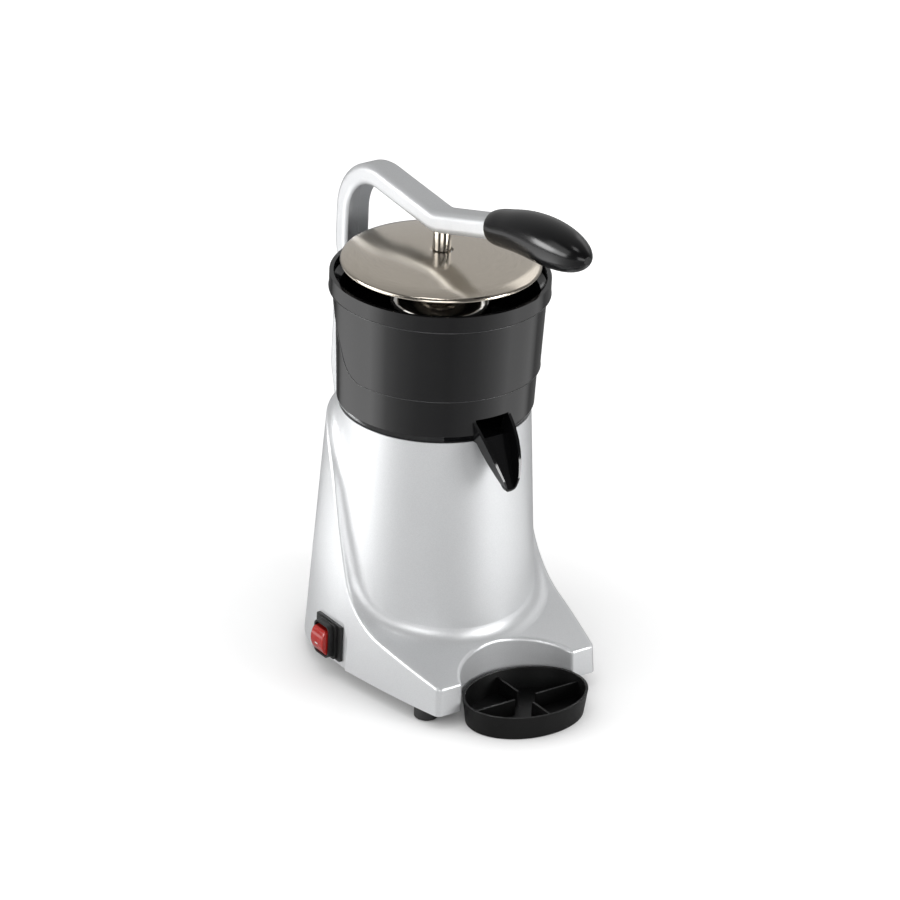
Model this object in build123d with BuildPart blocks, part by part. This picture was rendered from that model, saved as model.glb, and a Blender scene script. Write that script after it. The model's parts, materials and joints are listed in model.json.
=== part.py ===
"""Electric citrus juicer: a motor in a cast column turns a reamer, and a lever presses the fruit on it.

Millimetres, +Z up, the user at -Y. The origin is on the table, at the middle of the whole juicer's box.
Sizes are measured from the column's axis, on which the motor, the reamer, the bowl and the lid stand.
"""

import os
from math import cos, radians, sin, sqrt, tan

from build123d import *

os.makedirs("parts", exist_ok=True)

# Casting: base, shelf, cheeks, shoulder and column
base_clearance = 12.0
base_radius = 96.0
base_draft = 3.5
side_turn = 6.0
front_reach = 126.5
front_half_width = 75.0
front_corner_round = 5.0
shelf_front_height = 35.0
shelf_slope = 13.0
cheek_foot_reach = 28.0
cheek_lean = 19.65
cheek_hollow_radius = 60.0
shoulder_slope = 20.0
shoulder_sweep_radius = 102.0
shoulder_round = 14.0
crease_round = 3.0
waist_round = 14.0
deck_height = 212.0
shoulder_corner_height = deck_height - 16.6
deck_thickness = 6.0
column_top_radius = 75.3
column_draft = 3.4
wall = 4.0
overcut = 30.0

# Bowl's rim and step, on which the lever, the lid and the reamer depend
rim_radius = column_top_radius + 10.7
bowl_step_height = deck_height + 37.0
band_height = bowl_step_height + 59.0
rim_height = band_height + 14.4

# Hinge tower behind the bowl
pivot_reach = rim_radius + 21.0
pivot_height = deck_height + 54.0
ear_radius = 13.0
tower_half_width = 18.5
tower_foot_height = deck_height - 120.0
tower_bulge_height = deck_height - 10.0
tower_bulge_reach = pivot_reach + 14.5
tower_bulge_round = 40.0
tower_edge_round = 4.0
tower_ledge_height = deck_height - 22.0
tower_bury = 22.0
tower_root_round = 6.0
slot_floor_drop = 13.5
web_thickness = 3.0
stop_height = pivot_height + 22.0
stop_half_width = 9.0
bumper_radius = 4.5
pin_radius = 5.0
pin_stub = 3.0
clip_radius = 8.5
clip_thickness = 1.2
clip_groove = 1.0
bush_thickness = 2.0
bush_gap = 2.0

# Lever
lever_half_thickness = 8.7
lever_half_width = 12.0
lever_edge_round = 5.5
lever_eye_radius = ear_radius - web_thickness - 0.6
eye_half_width = lever_half_width + 0.3
slot_half_width = eye_half_width + 0.5
post_reach = pivot_reach + 15.5
post_bend_height = pivot_height + 36.0
arm_height = rim_height + 44.0
arm_back_rise = 11.8
arm_end_reach = 71.0
arm_end_rise = 21.2
post_bend_radius = 30.0
arch_radius = 42.0
kink_radius = 34.0
channel_wall = 2.6
channel_back = 3.2
channel_foot_height = pivot_height + 28.0
channel_end_reach = 18.0
tang_half_thickness = 4.0
tang_half_width = 7.0
tang_length = 58.0
tang_overlap = 12.0
tang_slope = 11.5

# Handle: reach and height past the arm's end and radius of its round sections, from the collar to the tip
grip_sections = [
    (0.55, -0.6, 13.2),
    (5.0, 0.9, 14.2),
    (17.0, 4.1, 15.4),
    (33.0, 8.0, 16.8),
    (51.0, 11.0, 18.0),
    (69.0, 12.6, 18.3),
    (85.0, 13.6, 16.9),
    (99.0, 14.4, 13.8),
    (109.0, 15.2, 9.2),
    (115.3, 15.4, 3.2),
]
grip_tip_reach = arm_end_reach + grip_sections[-1][0]
handle_screw_spots = [30.0, 48.0]
handle_screw_radius = 1.8
handle_screw_head = 3.4
handle_screw_head_height = 2.5
handle_screw_drop = 9.0
handle_screw_length = 20.0

# Press rod, cup and lid
rod_radius = 7.2
rod_stud_radius = 4.0
rod_stud_length = 8.0
rod_spotface_depth = 1.8
lid_radius = rim_radius - 7.8
lid_edge_height = rim_height + 8.9
lid_top_height = lid_edge_height + 10.7
lid_land_radius = 16.0
lid_dome_radius = lid_radius - 12.2
lid_dome_drop = 4.5
lid_lip = 2.0
lid_lip_round = 3.0
lid_thickness = 1.5
lid_hole_radius = 9.2
collar_radius = 14.0
cup_radius = 40.0
cup_top_height = lid_edge_height - 19.3
cup_mouth_height = cup_top_height - 34.0
cup_land_radius = collar_radius + 1.0
cup_dome_drop = 12.0
cup_corner_round = 8.0
cup_thickness = 2.0
cup_screw_radius = 3.0
cup_screw_head = 7.0
cup_screw_head_height = 4.0
cup_screw_length = 18.0

# Juice bowl, strainer and reamer
rim_lip = 3.3
rim_inner_drop = 8.0
band_cove = 1.5
bowl_wall = 3.0
bowl_top_radius = rim_radius - 3.0
bowl_step_radius = rim_radius - 5.6
bowl_step_in = 2.0
ledge_width = 3.0
bowl_floor_radius = rim_radius - 11.7
bowl_heel_radius = rim_radius - 8.8
bowl_floor_thickness = 3.0
bowl_heel_height = 6.0
apron_sweep_reach = 3.0
apron_sweep_angle = 57.0
apron_sweep_round = 30.0
chimney_radius = 20.0
chimney_wall = 3.0
spout_half_width = 17.8
spout_tip_radius = 5.5
spout_wall = 2.4
spout_root_reach = rim_radius - 16.0
spout_top_height = deck_height + 19.0
spout_tip_reach = rim_radius + 17.3
spout_tip_height = deck_height - 34.0
spout_top_reach = rim_radius - 12.5
spout_belly = 13.9
spout_belly_reach = rim_radius + 10.2
spout_belly_height = deck_height - 4.3
spout_nose_reach = rim_radius + 19.0
spout_nose_height = deck_height - 21.4
strainer_thickness = 1.5
strainer_slot_count = 30
strainer_slot_length = 20.0
strainer_slot_width = 2.6
strainer_slot_pitch = 25.0
reamer_base_height = bowl_step_height + 9.0
reamer_base_radius = 36.0
reamer_core_radius = 30.0
reamer_nose_height = reamer_base_height + 42.0
reamer_core_drop = 3.0
reamer_rib_count = 10
reamer_rib_thickness = 3.0
reamer_belly = 0.72
reamer_belly_rise = 0.58
sleeve_radius = 13.0
dog_radius = 8.5
seal_radius = 11.0
seal_height = 7.0
neck_radius = 15.5
neck_height = deck_height + 10.0
dog_foot_height = neck_height + 7.0
dog_top_height = reamer_base_height + 4.0
sleeve_foot_height = dog_foot_height + 2.0
gasket_radius = 62.0
gasket_width = 4.0
gasket_thickness = 2.0

# Motor
shaft_radius = 6.0
shaft_chamfer = 1.0
stator_radius = 50.0
stator_foot_height = deck_height - 97.0
shaft_foot_height = stator_foot_height - 58.0
stator_height = 45.0
winding_outer_radius = 40.0
winding_inner_radius = 30.0
winding_height = 16.0
winding_round = 3.0
rotor_radius = 27.5
rotor_overhang = 2.0
air_gap = 0.5
bell_wall = 8.5
bell_depth = 20.0
bell_cap = 5.0
hub_radius = 20.0
bearing_radius = 16.0
bearing_height = 10.0
bearing_shoulder = 2.0
post_radius = 6.5
mount_pitch_radius = 38.0
mount_screw_radius = 2.5
mount_screw_head = 4.5
mount_screw_head_height = 3.0
mount_screw_length = 20.0
bolt_pitch_radius = 45.5
bolt_radius = 2.4
bolt_head_radius = 4.2
bolt_head_height = 3.0
fan_radius = 42.0
fan_hub_radius = 14.0
fan_height = 12.0
fan_disc = 1.6
fan_foot_height = shaft_foot_height + 1.0
fan_blade_thickness = 1.6
fan_blade_count = 9

# Base plate, feet and what stands on the plate
plate_thickness = 2.0
foot_radius = 9.5
foot_edge_round = 1.5
front_foot = (68.0, -101.0)
rear_foot = (64.0, 58.0)
boss_radius = 7.0
front_boss_top = 38.0
rear_boss_top = 60.0
foot_screw_radius = 2.0
foot_screw_head = 4.0
foot_screw_head_height = 2.5
foot_screw_sink = 5.0
foot_screw_grip = 12.0
vent_length = 28.0
vent_width = 4.0
vent_pitch = 9.0
vent_count = 6
capacitor_spot = (38.0, 60.0)
capacitor_radius = 15.0
capacitor_height = 58.0
capacitor_stud_radius = 2.0
capacitor_stud_height = 6.0
clamp_height = 14.0
clamp_thickness = 1.6
clamp_foot_length = 14.0
clamp_screw_radius = 1.8
terminal_block_spot = (-34.0, 62.0)
terminal_block_length = 34.0
terminal_block_width = 18.0
terminal_block_height = 16.0
terminal_pitch = 10.0
grommet_height = 40.0
grommet_bore = 4.0
grommet_neck_radius = 6.5
grommet_flange_radius = 9.5
grommet_flange = 3.0
grommet_seat_depth = 1.4
grommet_back_gap = 1.6

# Rocker switch on the left side
panel_depth = 2.6
panel_height = 50.0
panel_half_length = 23.0
panel_corner_round = 9.0
panel_shift = -2.3
switch_height = 31.5
bezel_length = 34.0
bezel_height = 30.3
bezel_flange = 2.6
collar_length = 26.0
collar_height = 29.0
collar_round = 3.0
collar_rise = 2.2
boot_length = 21.0
boot_height = 28.0
boot_round = 5.0
boot_rise = 4.4
rocker_length = 17.0
rocker_height = 22.6
rocker_corner_round = 3.2
rocker_base_height = 15.0
rocker_rise = 4.8
rocker_tilt = 6.0
rocker_crown = 4.5
rocker_pivot_depth = 1.0
rocker_tail = 5.0
rocker_swing_gap = 1.3
switch_body_length = 20.0
switch_body_height = 27.4
switch_body_depth = 24.0
rocker_well_depth = 8.5
rocker_round = 1.2
terminal_width = 6.3
terminal_thickness = 0.8
terminal_length = 9.0
terminal_spread = 7.0

# Drip tray and the notch that takes it
tray_half_length = 52.8
tray_half_depth = 40.0
tray_reach = 137.4
tray_height = 19.3
tray_wall = 2.0
tray_floor = 2.5
tray_rib_thickness = 1.8
tray_rib_drop = 4.0
tray_draft = 2.6
tray_rib_gap = 10.0
notch_side_gap = 1.4
notch_rear_gap = 5.0
notch_edge_round = 3.0

# Clearances
running_gap = 0.05
seat_gap = 0.1
slip_gap = 0.3
loose_gap = 0.5

# The box is centred on the origin: handle tip to lever arch along Y, rocker to base along X
panel_reach = base_radius - (switch_height - base_clearance) * tan(radians(base_draft)) - panel_depth
switch_face_reach = panel_reach + bezel_flange + collar_rise + boot_rise
switch_reach = switch_face_reach + rocker_rise
axis_x = (switch_reach - base_radius) / 2
axis_y = (grip_tip_reach - post_reach - lever_half_thickness) / 2
column_axis = Axis((axis_x, axis_y, 0), (0, 0, 1))


def level(height):
    """Horizontal plane at a height, centred on the column's axis."""
    return Plane(origin=(axis_x, axis_y, height))


def side(offset=0.0, turn=0.0):
    """Upright plane through the column's axis: its x runs to the rear and its y runs up from the table."""
    facing = (cos(radians(turn)), sin(radians(turn)), 0)
    rearward = (-sin(radians(turn)), cos(radians(turn)), 0)
    return Plane(origin=(axis_x + offset, axis_y, 0), x_dir=rearward, z_dir=facing)


def front(reach):
    """Upright plane that faces the user, a reach in front of the column's axis: its y runs up."""
    return Plane(origin=(axis_x, axis_y - reach, 0), x_dir=(1, 0, 0), z_dir=(0, -1, 0))


def left(reach):
    """Upright plane that faces left, a reach from the column's axis: its x runs to the front, its y up."""
    return Plane(origin=(axis_x - reach, axis_y, 0), x_dir=(0, -1, 0), z_dir=(-1, 0, 0))


def parallel(corners, radii, distance):
    """Corners and radii of a rounded polyline, moved to the left of its run by a distance."""
    runs = [Vector(*end) - Vector(*start) for start, end in zip(corners, corners[1:])]
    normals = [Vector(-run.Y, run.X).normalized() for run in runs]
    miters = [(before + after) / (1 + before.dot(after)) for before, after in zip(normals, normals[1:])]
    offsets = [normals[0], *miters, normals[-1]]
    moved = [Vector(*corner) + offset * distance for corner, offset in zip(corners, offsets)]
    turns = [before.cross(after).Z for before, after in zip(runs, runs[1:])]
    rounds = [radius - distance if turn > 0 else radius + distance for radius, turn in zip(radii, turns)]
    return [(point.X, point.Y) for point in moved], rounds


def ribbon(corners, radii, right_edge, left_edge):
    """Face between two lines parallel to a rounded polyline, on the plane x to the rear, y up."""
    right_corners, right_radii = parallel(corners, radii, right_edge)
    left_corners, left_radii = parallel(corners, radii, left_edge)
    with BuildSketch(side()) as band:
        with BuildLine():
            FilletPolyline(*right_corners, radius=right_radii)
            FilletPolyline(*left_corners, radius=left_radii)
            Line(right_corners[0], left_corners[0])
            Line(right_corners[-1], left_corners[-1])
        make_face()
    return band.sketch


def plan(inset):
    """Outline of the casting at its underside, taken in by an inset."""
    radius = base_radius - inset
    turn = radians(side_turn)
    leave = (radius * cos(turn), -radius * sin(turn))
    corner = (front_half_width - inset, inset - front_reach)
    with BuildSketch(level(base_clearance)) as outline:
        with BuildLine():
            ThreePointArc(leave, (0, radius), (-leave[0], leave[1]))
            TangentArc(leave, corner, tangent=(-sin(turn), -cos(turn)))
            Line(corner, (-corner[0], corner[1]))
            TangentArc((-leave[0], leave[1]), (-corner[0], corner[1]), tangent=(sin(turn), -cos(turn)))
        make_face()
    return outline.sketch


def round_front_corners(block, inset, middle):
    """Round the two upright edges at the front of a builder's solid, found at half their height."""
    for end in (1, -1):
        corner = (axis_x + end * (front_half_width - inset), axis_y - front_reach + inset, middle)
        fillet(block.edges().sort_by_distance(corner)[0], radius=front_corner_round)


def notch(margin):
    """Oval of the tray's notch, grown by a margin."""
    with BuildSketch(level(0)) as oval:
        with Locations((0, -tray_reach)):
            Ellipse(tray_half_length + notch_side_gap + margin, tray_half_depth + notch_rear_gap + margin)
    return oval.sketch


shelf_rise = tan(radians(shelf_slope))
cheek_foot_height = shelf_front_height + shelf_rise * (front_reach - cheek_foot_reach)
cheek_rise = shoulder_corner_height - cheek_foot_height
shoulder_corner_reach = cheek_rise * tan(radians(cheek_lean)) - cheek_foot_reach
shoulder_run = base_radius - shoulder_corner_reach + overcut
shoulder_end_height = shoulder_corner_height + shoulder_run * tan(radians(shoulder_slope))
profile_corners = [
    (-front_reach - overcut, shelf_front_height - overcut * shelf_rise),
    (-cheek_foot_reach, cheek_foot_height),
    (shoulder_corner_reach, shoulder_corner_height),
    (shoulder_corner_reach + shoulder_run, shoulder_end_height),
]
profile_radii = [cheek_hollow_radius, shoulder_sweep_radius]


def base_form(inset, roof):
    """Drafted base under its side profile: shelf, hollow, cheeks and shoulder, taken in by an inset."""
    corners, radii = parallel(profile_corners, profile_radii, -inset)
    with BuildPart() as form:
        extrude(plan(inset), amount=roof - base_clearance, taper=base_draft)
        rear_edge = form.faces().sort_by(Axis.Z)[-1].edges().sort_by(Axis.Y)[-1]
        fillet(rear_edge, radius=shoulder_round - inset)
        with BuildSketch(side()):
            with BuildLine():
                FilletPolyline(*corners, radius=radii)
                Polyline(corners[-1], (corners[-1][0], 0), (corners[0][0], 0), corners[0])
            make_face()
        extrude(amount=base_radius + overcut, both=True, mode=Mode.INTERSECT)
        round_front_corners(form, inset, (base_clearance + shelf_front_height) / 2)
    return form.part


def column_radius(height):
    """Outer radius of the column's cone at a height."""
    return column_top_radius + (deck_height - height) * tan(radians(column_draft))


def rear_reach(height):
    """Reach of the drafted rear wall at a height."""
    return base_radius - (height - base_clearance) * tan(radians(base_draft))


def on_rear_wall(edge):
    """Whether an edge runs on the drafted rear wall."""
    spots = [edge.position_at(share) for share in (0.1, 0.5, 0.9)]
    depths = [sqrt((spot.X - axis_x) ** 2 + (spot.Y - axis_y) ** 2) - rear_reach(spot.Z) for spot in spots]
    return max(abs(depth) for depth in depths) < loose_gap


def ring_of(count, radius, first_angle):
    """Evenly spaced spots on a circle round the column's axis."""
    angles = [radians(first_angle + index * 360 / count) for index in range(count)]
    return [(radius * cos(angle), radius * sin(angle)) for angle in angles]


# Hinge tower: a block on the rear of the shoulder, rounded over the pivot
tower_root = rear_reach(tower_foot_height) - tower_bury
tower_slope = (tower_bulge_height - tower_foot_height) / (
    tower_bulge_reach - rear_reach(tower_foot_height)
)
with BuildPart() as tower:
    with BuildSketch(side()) as tower_outline:
        Polygon(
            (tower_root, tower_foot_height - tower_bury * tower_slope),
            (tower_bulge_reach, tower_bulge_height),
            (pivot_reach + ear_radius, pivot_height),
            (pivot_reach - ear_radius, pivot_height),
            (pivot_reach - ear_radius, tower_ledge_height),
            (tower_root, tower_ledge_height),
            align=None,
        )
        bulge = tower_outline.vertices().sort_by_distance((tower_bulge_reach, tower_bulge_height))
        fillet(bulge[0], radius=tower_bulge_round)
        with Locations((pivot_reach, pivot_height)):
            Circle(ear_radius)
    extrude(amount=tower_half_width, both=True)
    fillet(tower.faces().filter_by(Axis.X).edges(), radius=tower_edge_round)

# Casting with its hollow, notch, switch panel, deck neck, bosses and hinge ears
with BuildPart() as housing_outside:
    add(base_form(0, deck_height))
    creases = housing_outside.edges().filter_by(
        lambda edge: edge.bounding_box().size.Z > 1
        and shelf_front_height < edge.center().Z < deck_height
        and abs(edge.center().X - axis_x) > column_top_radius / 2
    )
    fillet(creases, radius=crease_round)
    with BuildSketch(level(base_clearance)):
        Circle(column_radius(base_clearance))
    extrude(amount=deck_height - base_clearance, taper=column_draft)
    waist = housing_outside.edges(Select.LAST).filter_by(
        lambda edge: shelf_front_height < edge.center().Z < deck_height - loose_gap
    )
    fillet(waist, radius=waist_round)
    add(tower.part)
    tower_seam = housing_outside.edges(Select.LAST).filter_by(on_rear_wall)
    fillet(tower_seam, radius=tower_root_round)
    with BuildSketch(level(pivot_height - slot_floor_drop)):
        with Locations((0, pivot_reach - ear_radius + web_thickness)):
            Rectangle(2 * slot_half_width, 3 * ear_radius, align=(Align.CENTER, Align.MIN))
    extrude(amount=stop_height - pivot_height + 2 * ear_radius, mode=Mode.SUBTRACT)
    with BuildSketch(level(pivot_height - slot_floor_drop)):
        with Locations((0, pivot_reach - ear_radius)):
            Rectangle(2 * stop_half_width, web_thickness, align=(Align.CENTER, Align.MIN))
    extrude(amount=stop_height + bumper_radius - pivot_height + slot_floor_drop)
    with BuildSketch(side()):
        with Locations((pivot_reach, pivot_height)):
            Circle(pin_radius + running_gap / 2)
    extrude(amount=tower_half_width, both=True, mode=Mode.SUBTRACT)

with BuildPart() as housing_hollow:
    add(base_form(wall, deck_height - deck_thickness))
    with BuildSketch(level(base_clearance)):
        Circle(column_radius(base_clearance) - wall)
    extrude(amount=deck_height - deck_thickness - base_clearance, taper=column_draft)
    extrude(notch(wall), amount=deck_height / 2, mode=Mode.SUBTRACT)
    with BuildSketch(left(panel_reach - wall)):
        with Locations((-panel_shift, 0)):
            Rectangle(2 * panel_half_length + 2 * wall, 2 * (panel_height + wall))
    extrude(amount=base_radius, mode=Mode.SUBTRACT)

with BuildPart() as housing_bosses:
    for spot, top in ((front_foot, front_boss_top), (rear_foot, rear_boss_top)):
        with BuildSketch(level(base_clearance + plate_thickness)):
            with Locations(spot, (-spot[0], spot[1])):
                Circle(boss_radius)
        extrude(amount=top - base_clearance - plate_thickness)

mount_spots = ring_of(4, mount_pitch_radius, 45)
foot_spots = [(sign * spot[0], spot[1]) for spot in (front_foot, rear_foot) for sign in (1, -1)]

with BuildPart() as body_housing:
    add(housing_outside.part)
    add(housing_hollow.part, mode=Mode.SUBTRACT)
    add(housing_bosses.part)
    extrude(notch(0), amount=deck_height / 2, mode=Mode.SUBTRACT)
    notch_edges = body_housing.edges(Select.LAST).filter_by(
        lambda edge: edge.center().Z > base_clearance + loose_gap
    )
    fillet(notch_edges, radius=notch_edge_round)
    with BuildSketch(left(panel_reach)) as panel_cut:
        with Locations((-panel_shift, 0)):
            Rectangle(2 * panel_half_length, 2 * panel_height)
        fillet(panel_cut.vertices(), radius=panel_corner_round)
    extrude(amount=base_radius, mode=Mode.SUBTRACT)
    with BuildSketch(left(panel_reach + loose_gap)):
        with Locations((-panel_shift, switch_height)):
            Rectangle(switch_body_length + 2 * slip_gap, switch_body_height + 2 * slip_gap)
    extrude(amount=-2 * wall, mode=Mode.SUBTRACT)
    with BuildSketch(level(deck_height - deck_thickness)):
        Circle(neck_radius)
    extrude(amount=neck_height - deck_height + deck_thickness)
    with BuildSketch(level(deck_height - deck_thickness)):
        Circle(shaft_radius + loose_gap)
    extrude(amount=neck_height, mode=Mode.SUBTRACT)
    with BuildSketch(level(neck_height - seal_height)):
        Circle(seal_radius + seat_gap)
    extrude(amount=seal_height, mode=Mode.SUBTRACT)
    with BuildSketch(level(deck_height - gasket_thickness)):
        Circle(gasket_radius + seat_gap)
        Circle(gasket_radius - gasket_width - seat_gap, mode=Mode.SUBTRACT)
    extrude(amount=gasket_thickness, mode=Mode.SUBTRACT)
    with BuildSketch(level(deck_height - deck_thickness)):
        with Locations(*mount_spots):
            Circle(mount_screw_radius + seat_gap)
    extrude(amount=deck_thickness, mode=Mode.SUBTRACT)
    with BuildSketch(level(deck_height - mount_screw_head_height - seat_gap)):
        with Locations(*mount_spots):
            Circle(mount_screw_head + seat_gap)
    extrude(amount=deck_thickness, mode=Mode.SUBTRACT)
    with BuildSketch(level(base_clearance)):
        with Locations(*foot_spots):
            Circle(foot_screw_radius + seat_gap)
    extrude(amount=plate_thickness + foot_screw_grip, mode=Mode.SUBTRACT)
    with BuildSketch(front(-base_radius - overcut)):
        with Locations((0, grommet_height)):
            Circle(grommet_flange_radius + loose_gap)
    spot_face_depth = base_radius + overcut - rear_reach(grommet_height) + grommet_seat_depth
    extrude(amount=spot_face_depth, mode=Mode.SUBTRACT)
    with BuildSketch(front(-base_radius)):
        with Locations((0, grommet_height)):
            Circle(grommet_neck_radius + seat_gap)
    extrude(amount=3 * wall, mode=Mode.SUBTRACT)
body_housing.part.label = "body_housing"
export_step(body_housing.part, "parts/body_housing.step")

# Sheet-metal cover under the casting, with vents below the motor's fan
with BuildPart() as base_plate:
    extrude(plan(wall + slip_gap), amount=plate_thickness)
    round_front_corners(base_plate, wall + slip_gap, base_clearance + plate_thickness / 2)
    extrude(notch(wall + slip_gap), amount=2 * base_clearance, mode=Mode.SUBTRACT)
    with BuildSketch(left(panel_reach - wall - slip_gap)):
        with Locations((-panel_shift, 0)):
            Rectangle(2 * (panel_half_length + wall + slip_gap), 2 * panel_height)
    extrude(amount=base_radius, mode=Mode.SUBTRACT)
    with BuildSketch(level(base_clearance)):
        with Locations(*foot_spots):
            Circle(foot_screw_radius + seat_gap)
        with GridLocations(vent_length + vent_pitch, vent_pitch, 2, vent_count):
            SlotOverall(vent_length, vent_width)
    extrude(amount=plate_thickness, mode=Mode.SUBTRACT)
base_plate.part.label = "base_plate"
export_step(base_plate.part, "parts/base_plate.step")

with BuildPart() as feet:
    with BuildSketch(level(0)):
        with Locations(*foot_spots):
            Circle(foot_radius)
    extrude(amount=base_clearance)
    fillet(feet.faces().group_by(Axis.Z)[0].edges(), radius=foot_edge_round)
    with BuildSketch(level(0)):
        with Locations(*foot_spots):
            Circle(foot_screw_head + loose_gap)
    extrude(amount=foot_screw_sink, mode=Mode.SUBTRACT)
    with BuildSketch(level(0)):
        with Locations(*foot_spots):
            Circle(foot_screw_radius + seat_gap)
    extrude(amount=base_clearance, mode=Mode.SUBTRACT)
feet.part.label = "feet"
export_step(feet.part, "parts/feet.step")

with BuildPart() as foot_screws:
    with BuildSketch(level(foot_screw_sink)):
        with Locations(*foot_spots):
            Circle(foot_screw_head)
    extrude(amount=-foot_screw_head_height)
    with BuildSketch(level(foot_screw_sink)):
        with Locations(*foot_spots):
            Circle(foot_screw_radius)
    extrude(amount=base_clearance + plate_thickness + foot_screw_grip - foot_screw_sink - seat_gap)
foot_screws.part.label = "foot_screws"
export_step(foot_screws.part, "parts/foot_screws.step")

# Motor: an induction motor hung under the deck, its shaft through the deck's neck
stator_top = stator_foot_height + stator_height
bell_top = stator_top + bell_depth + bell_cap
bell_foot = stator_foot_height - bell_depth - bell_cap
upper_bearing_foot = bell_top + bearing_shoulder
lower_bearing_foot = bell_foot - bearing_shoulder - bearing_height
deck_underside = deck_height - deck_thickness
shaft_top = dog_top_height - bell_cap
bolt_spots = ring_of(4, bolt_pitch_radius, 0)

with BuildPart() as stator_core:
    with BuildSketch(level(stator_foot_height)):
        Circle(stator_radius)
        Circle(rotor_radius + air_gap, mode=Mode.SUBTRACT)
        with Locations(*bolt_spots):
            Circle(bolt_radius + seat_gap, mode=Mode.SUBTRACT)
    extrude(amount=stator_height)
stator_core.part.label = "stator_core"
export_step(stator_core.part, "parts/stator_core.step")

with BuildPart() as stator_windings:
    for foot in (stator_foot_height - winding_height, stator_top):
        with BuildSketch(level(foot)):
            Circle(winding_outer_radius)
            Circle(winding_inner_radius, mode=Mode.SUBTRACT)
        extrude(amount=winding_height)
    fillet(stator_windings.edges().filter_by(GeomType.CIRCLE).filter_by(
        lambda edge: not stator_foot_height - seat_gap < edge.center().Z < stator_top + seat_gap
    ), radius=winding_round)
stator_windings.part.label = "stator_windings"
export_step(stator_windings.part, "parts/stator_windings.step")

with BuildPart() as rotor:
    with BuildSketch(level(stator_foot_height - rotor_overhang)):
        Circle(rotor_radius)
        Circle(shaft_radius + running_gap, mode=Mode.SUBTRACT)
    extrude(amount=stator_height + 2 * rotor_overhang)
rotor.part.label = "rotor"
export_step(rotor.part, "parts/rotor.step")

with BuildPart() as motor_shaft:
    with BuildSketch(level(shaft_foot_height)):
        Circle(shaft_radius)
    extrude(amount=shaft_top - shaft_foot_height)
    chamfer(motor_shaft.faces().sort_by(Axis.Z)[-1].edges(), length=shaft_chamfer)
motor_shaft.part.label = "motor_shaft"
export_step(motor_shaft.part, "parts/motor_shaft.step")

with BuildPart() as upper_bearing:
    with BuildSketch(level(upper_bearing_foot)):
        Circle(bearing_radius)
        Circle(shaft_radius + running_gap, mode=Mode.SUBTRACT)
    extrude(amount=bearing_height)
upper_bearing.part.label = "upper_bearing"
export_step(upper_bearing.part, "parts/upper_bearing.step")

with BuildPart() as lower_bearing:
    with BuildSketch(level(lower_bearing_foot)):
        Circle(bearing_radius)
        Circle(shaft_radius + running_gap, mode=Mode.SUBTRACT)
    extrude(amount=bearing_height)
lower_bearing.part.label = "lower_bearing"
export_step(lower_bearing.part, "parts/lower_bearing.step")


def end_bell(rim, cap, shoulder, seat):
    """Cast end cover from the stator's face to its bearing seat, which opens away from the stator."""
    inward = 1 if rim < cap else -1
    with BuildPart() as bell:
        with BuildSketch(side()):
            Polygon(
                (shaft_radius + bearing_shoulder, cap - inward * bell_cap),
                (stator_radius - bell_wall, cap - inward * bell_cap),
                (stator_radius - bell_wall, rim),
                (stator_radius, rim),
                (stator_radius, cap),
                (hub_radius, cap),
                (hub_radius, seat),
                (bearing_radius + running_gap, seat),
                (bearing_radius + running_gap, shoulder),
                (shaft_radius + bearing_shoulder, shoulder),
                align=None,
            )
        revolve(axis=column_axis)
        with BuildSketch(level(rim)):
            with Locations(*bolt_spots):
                Circle(bolt_radius + seat_gap)
        extrude(amount=inward * 2 * (bell_depth + bell_cap), mode=Mode.SUBTRACT)
    return bell.part


with BuildPart() as motor_upper_bracket:
    add(end_bell(stator_top, bell_top, upper_bearing_foot, upper_bearing_foot + bearing_height))
    with BuildSketch(level(bell_top - bell_cap)):
        with Locations(*mount_spots):
            Circle(post_radius)
    extrude(amount=deck_underside - bell_top + bell_cap)
    with BuildSketch(level(deck_underside)):
        with Locations(*mount_spots):
            Circle(mount_screw_radius + seat_gap)
    screw_reach = mount_screw_length + mount_screw_head_height - deck_thickness
    extrude(amount=-screw_reach - seat_gap, mode=Mode.SUBTRACT)
motor_upper_bracket.part.label = "motor_upper_bracket"
export_step(motor_upper_bracket.part, "parts/motor_upper_bracket.step")

with BuildPart() as motor_lower_bracket:
    add(end_bell(stator_foot_height, bell_foot, lower_bearing_foot + bearing_height, lower_bearing_foot))
motor_lower_bracket.part.label = "motor_lower_bracket"
export_step(motor_lower_bracket.part, "parts/motor_lower_bracket.step")

with BuildPart() as motor_through_bolts:
    with BuildSketch(level(bell_foot)):
        with Locations(*bolt_spots):
            RegularPolygon(bolt_head_radius, side_count=6)
    extrude(amount=-bolt_head_height)
    with BuildSketch(level(bell_foot)):
        with Locations(*bolt_spots):
            Circle(bolt_radius)
    extrude(amount=bell_top - bell_foot)
motor_through_bolts.part.label = "motor_through_bolts"
export_step(motor_through_bolts.part, "parts/motor_through_bolts.step")

with BuildPart() as motor_mount_screws:
    with BuildSketch(level(deck_height - mount_screw_head_height)):
        with Locations(*mount_spots):
            Circle(mount_screw_head)
    extrude(amount=mount_screw_head_height - seat_gap)
    with BuildSketch(level(deck_height - mount_screw_head_height)):
        with Locations(*mount_spots):
            Circle(mount_screw_radius)
    extrude(amount=-mount_screw_length)
motor_mount_screws.part.label = "motor_mount_screws"
export_step(motor_mount_screws.part, "parts/motor_mount_screws.step")

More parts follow.
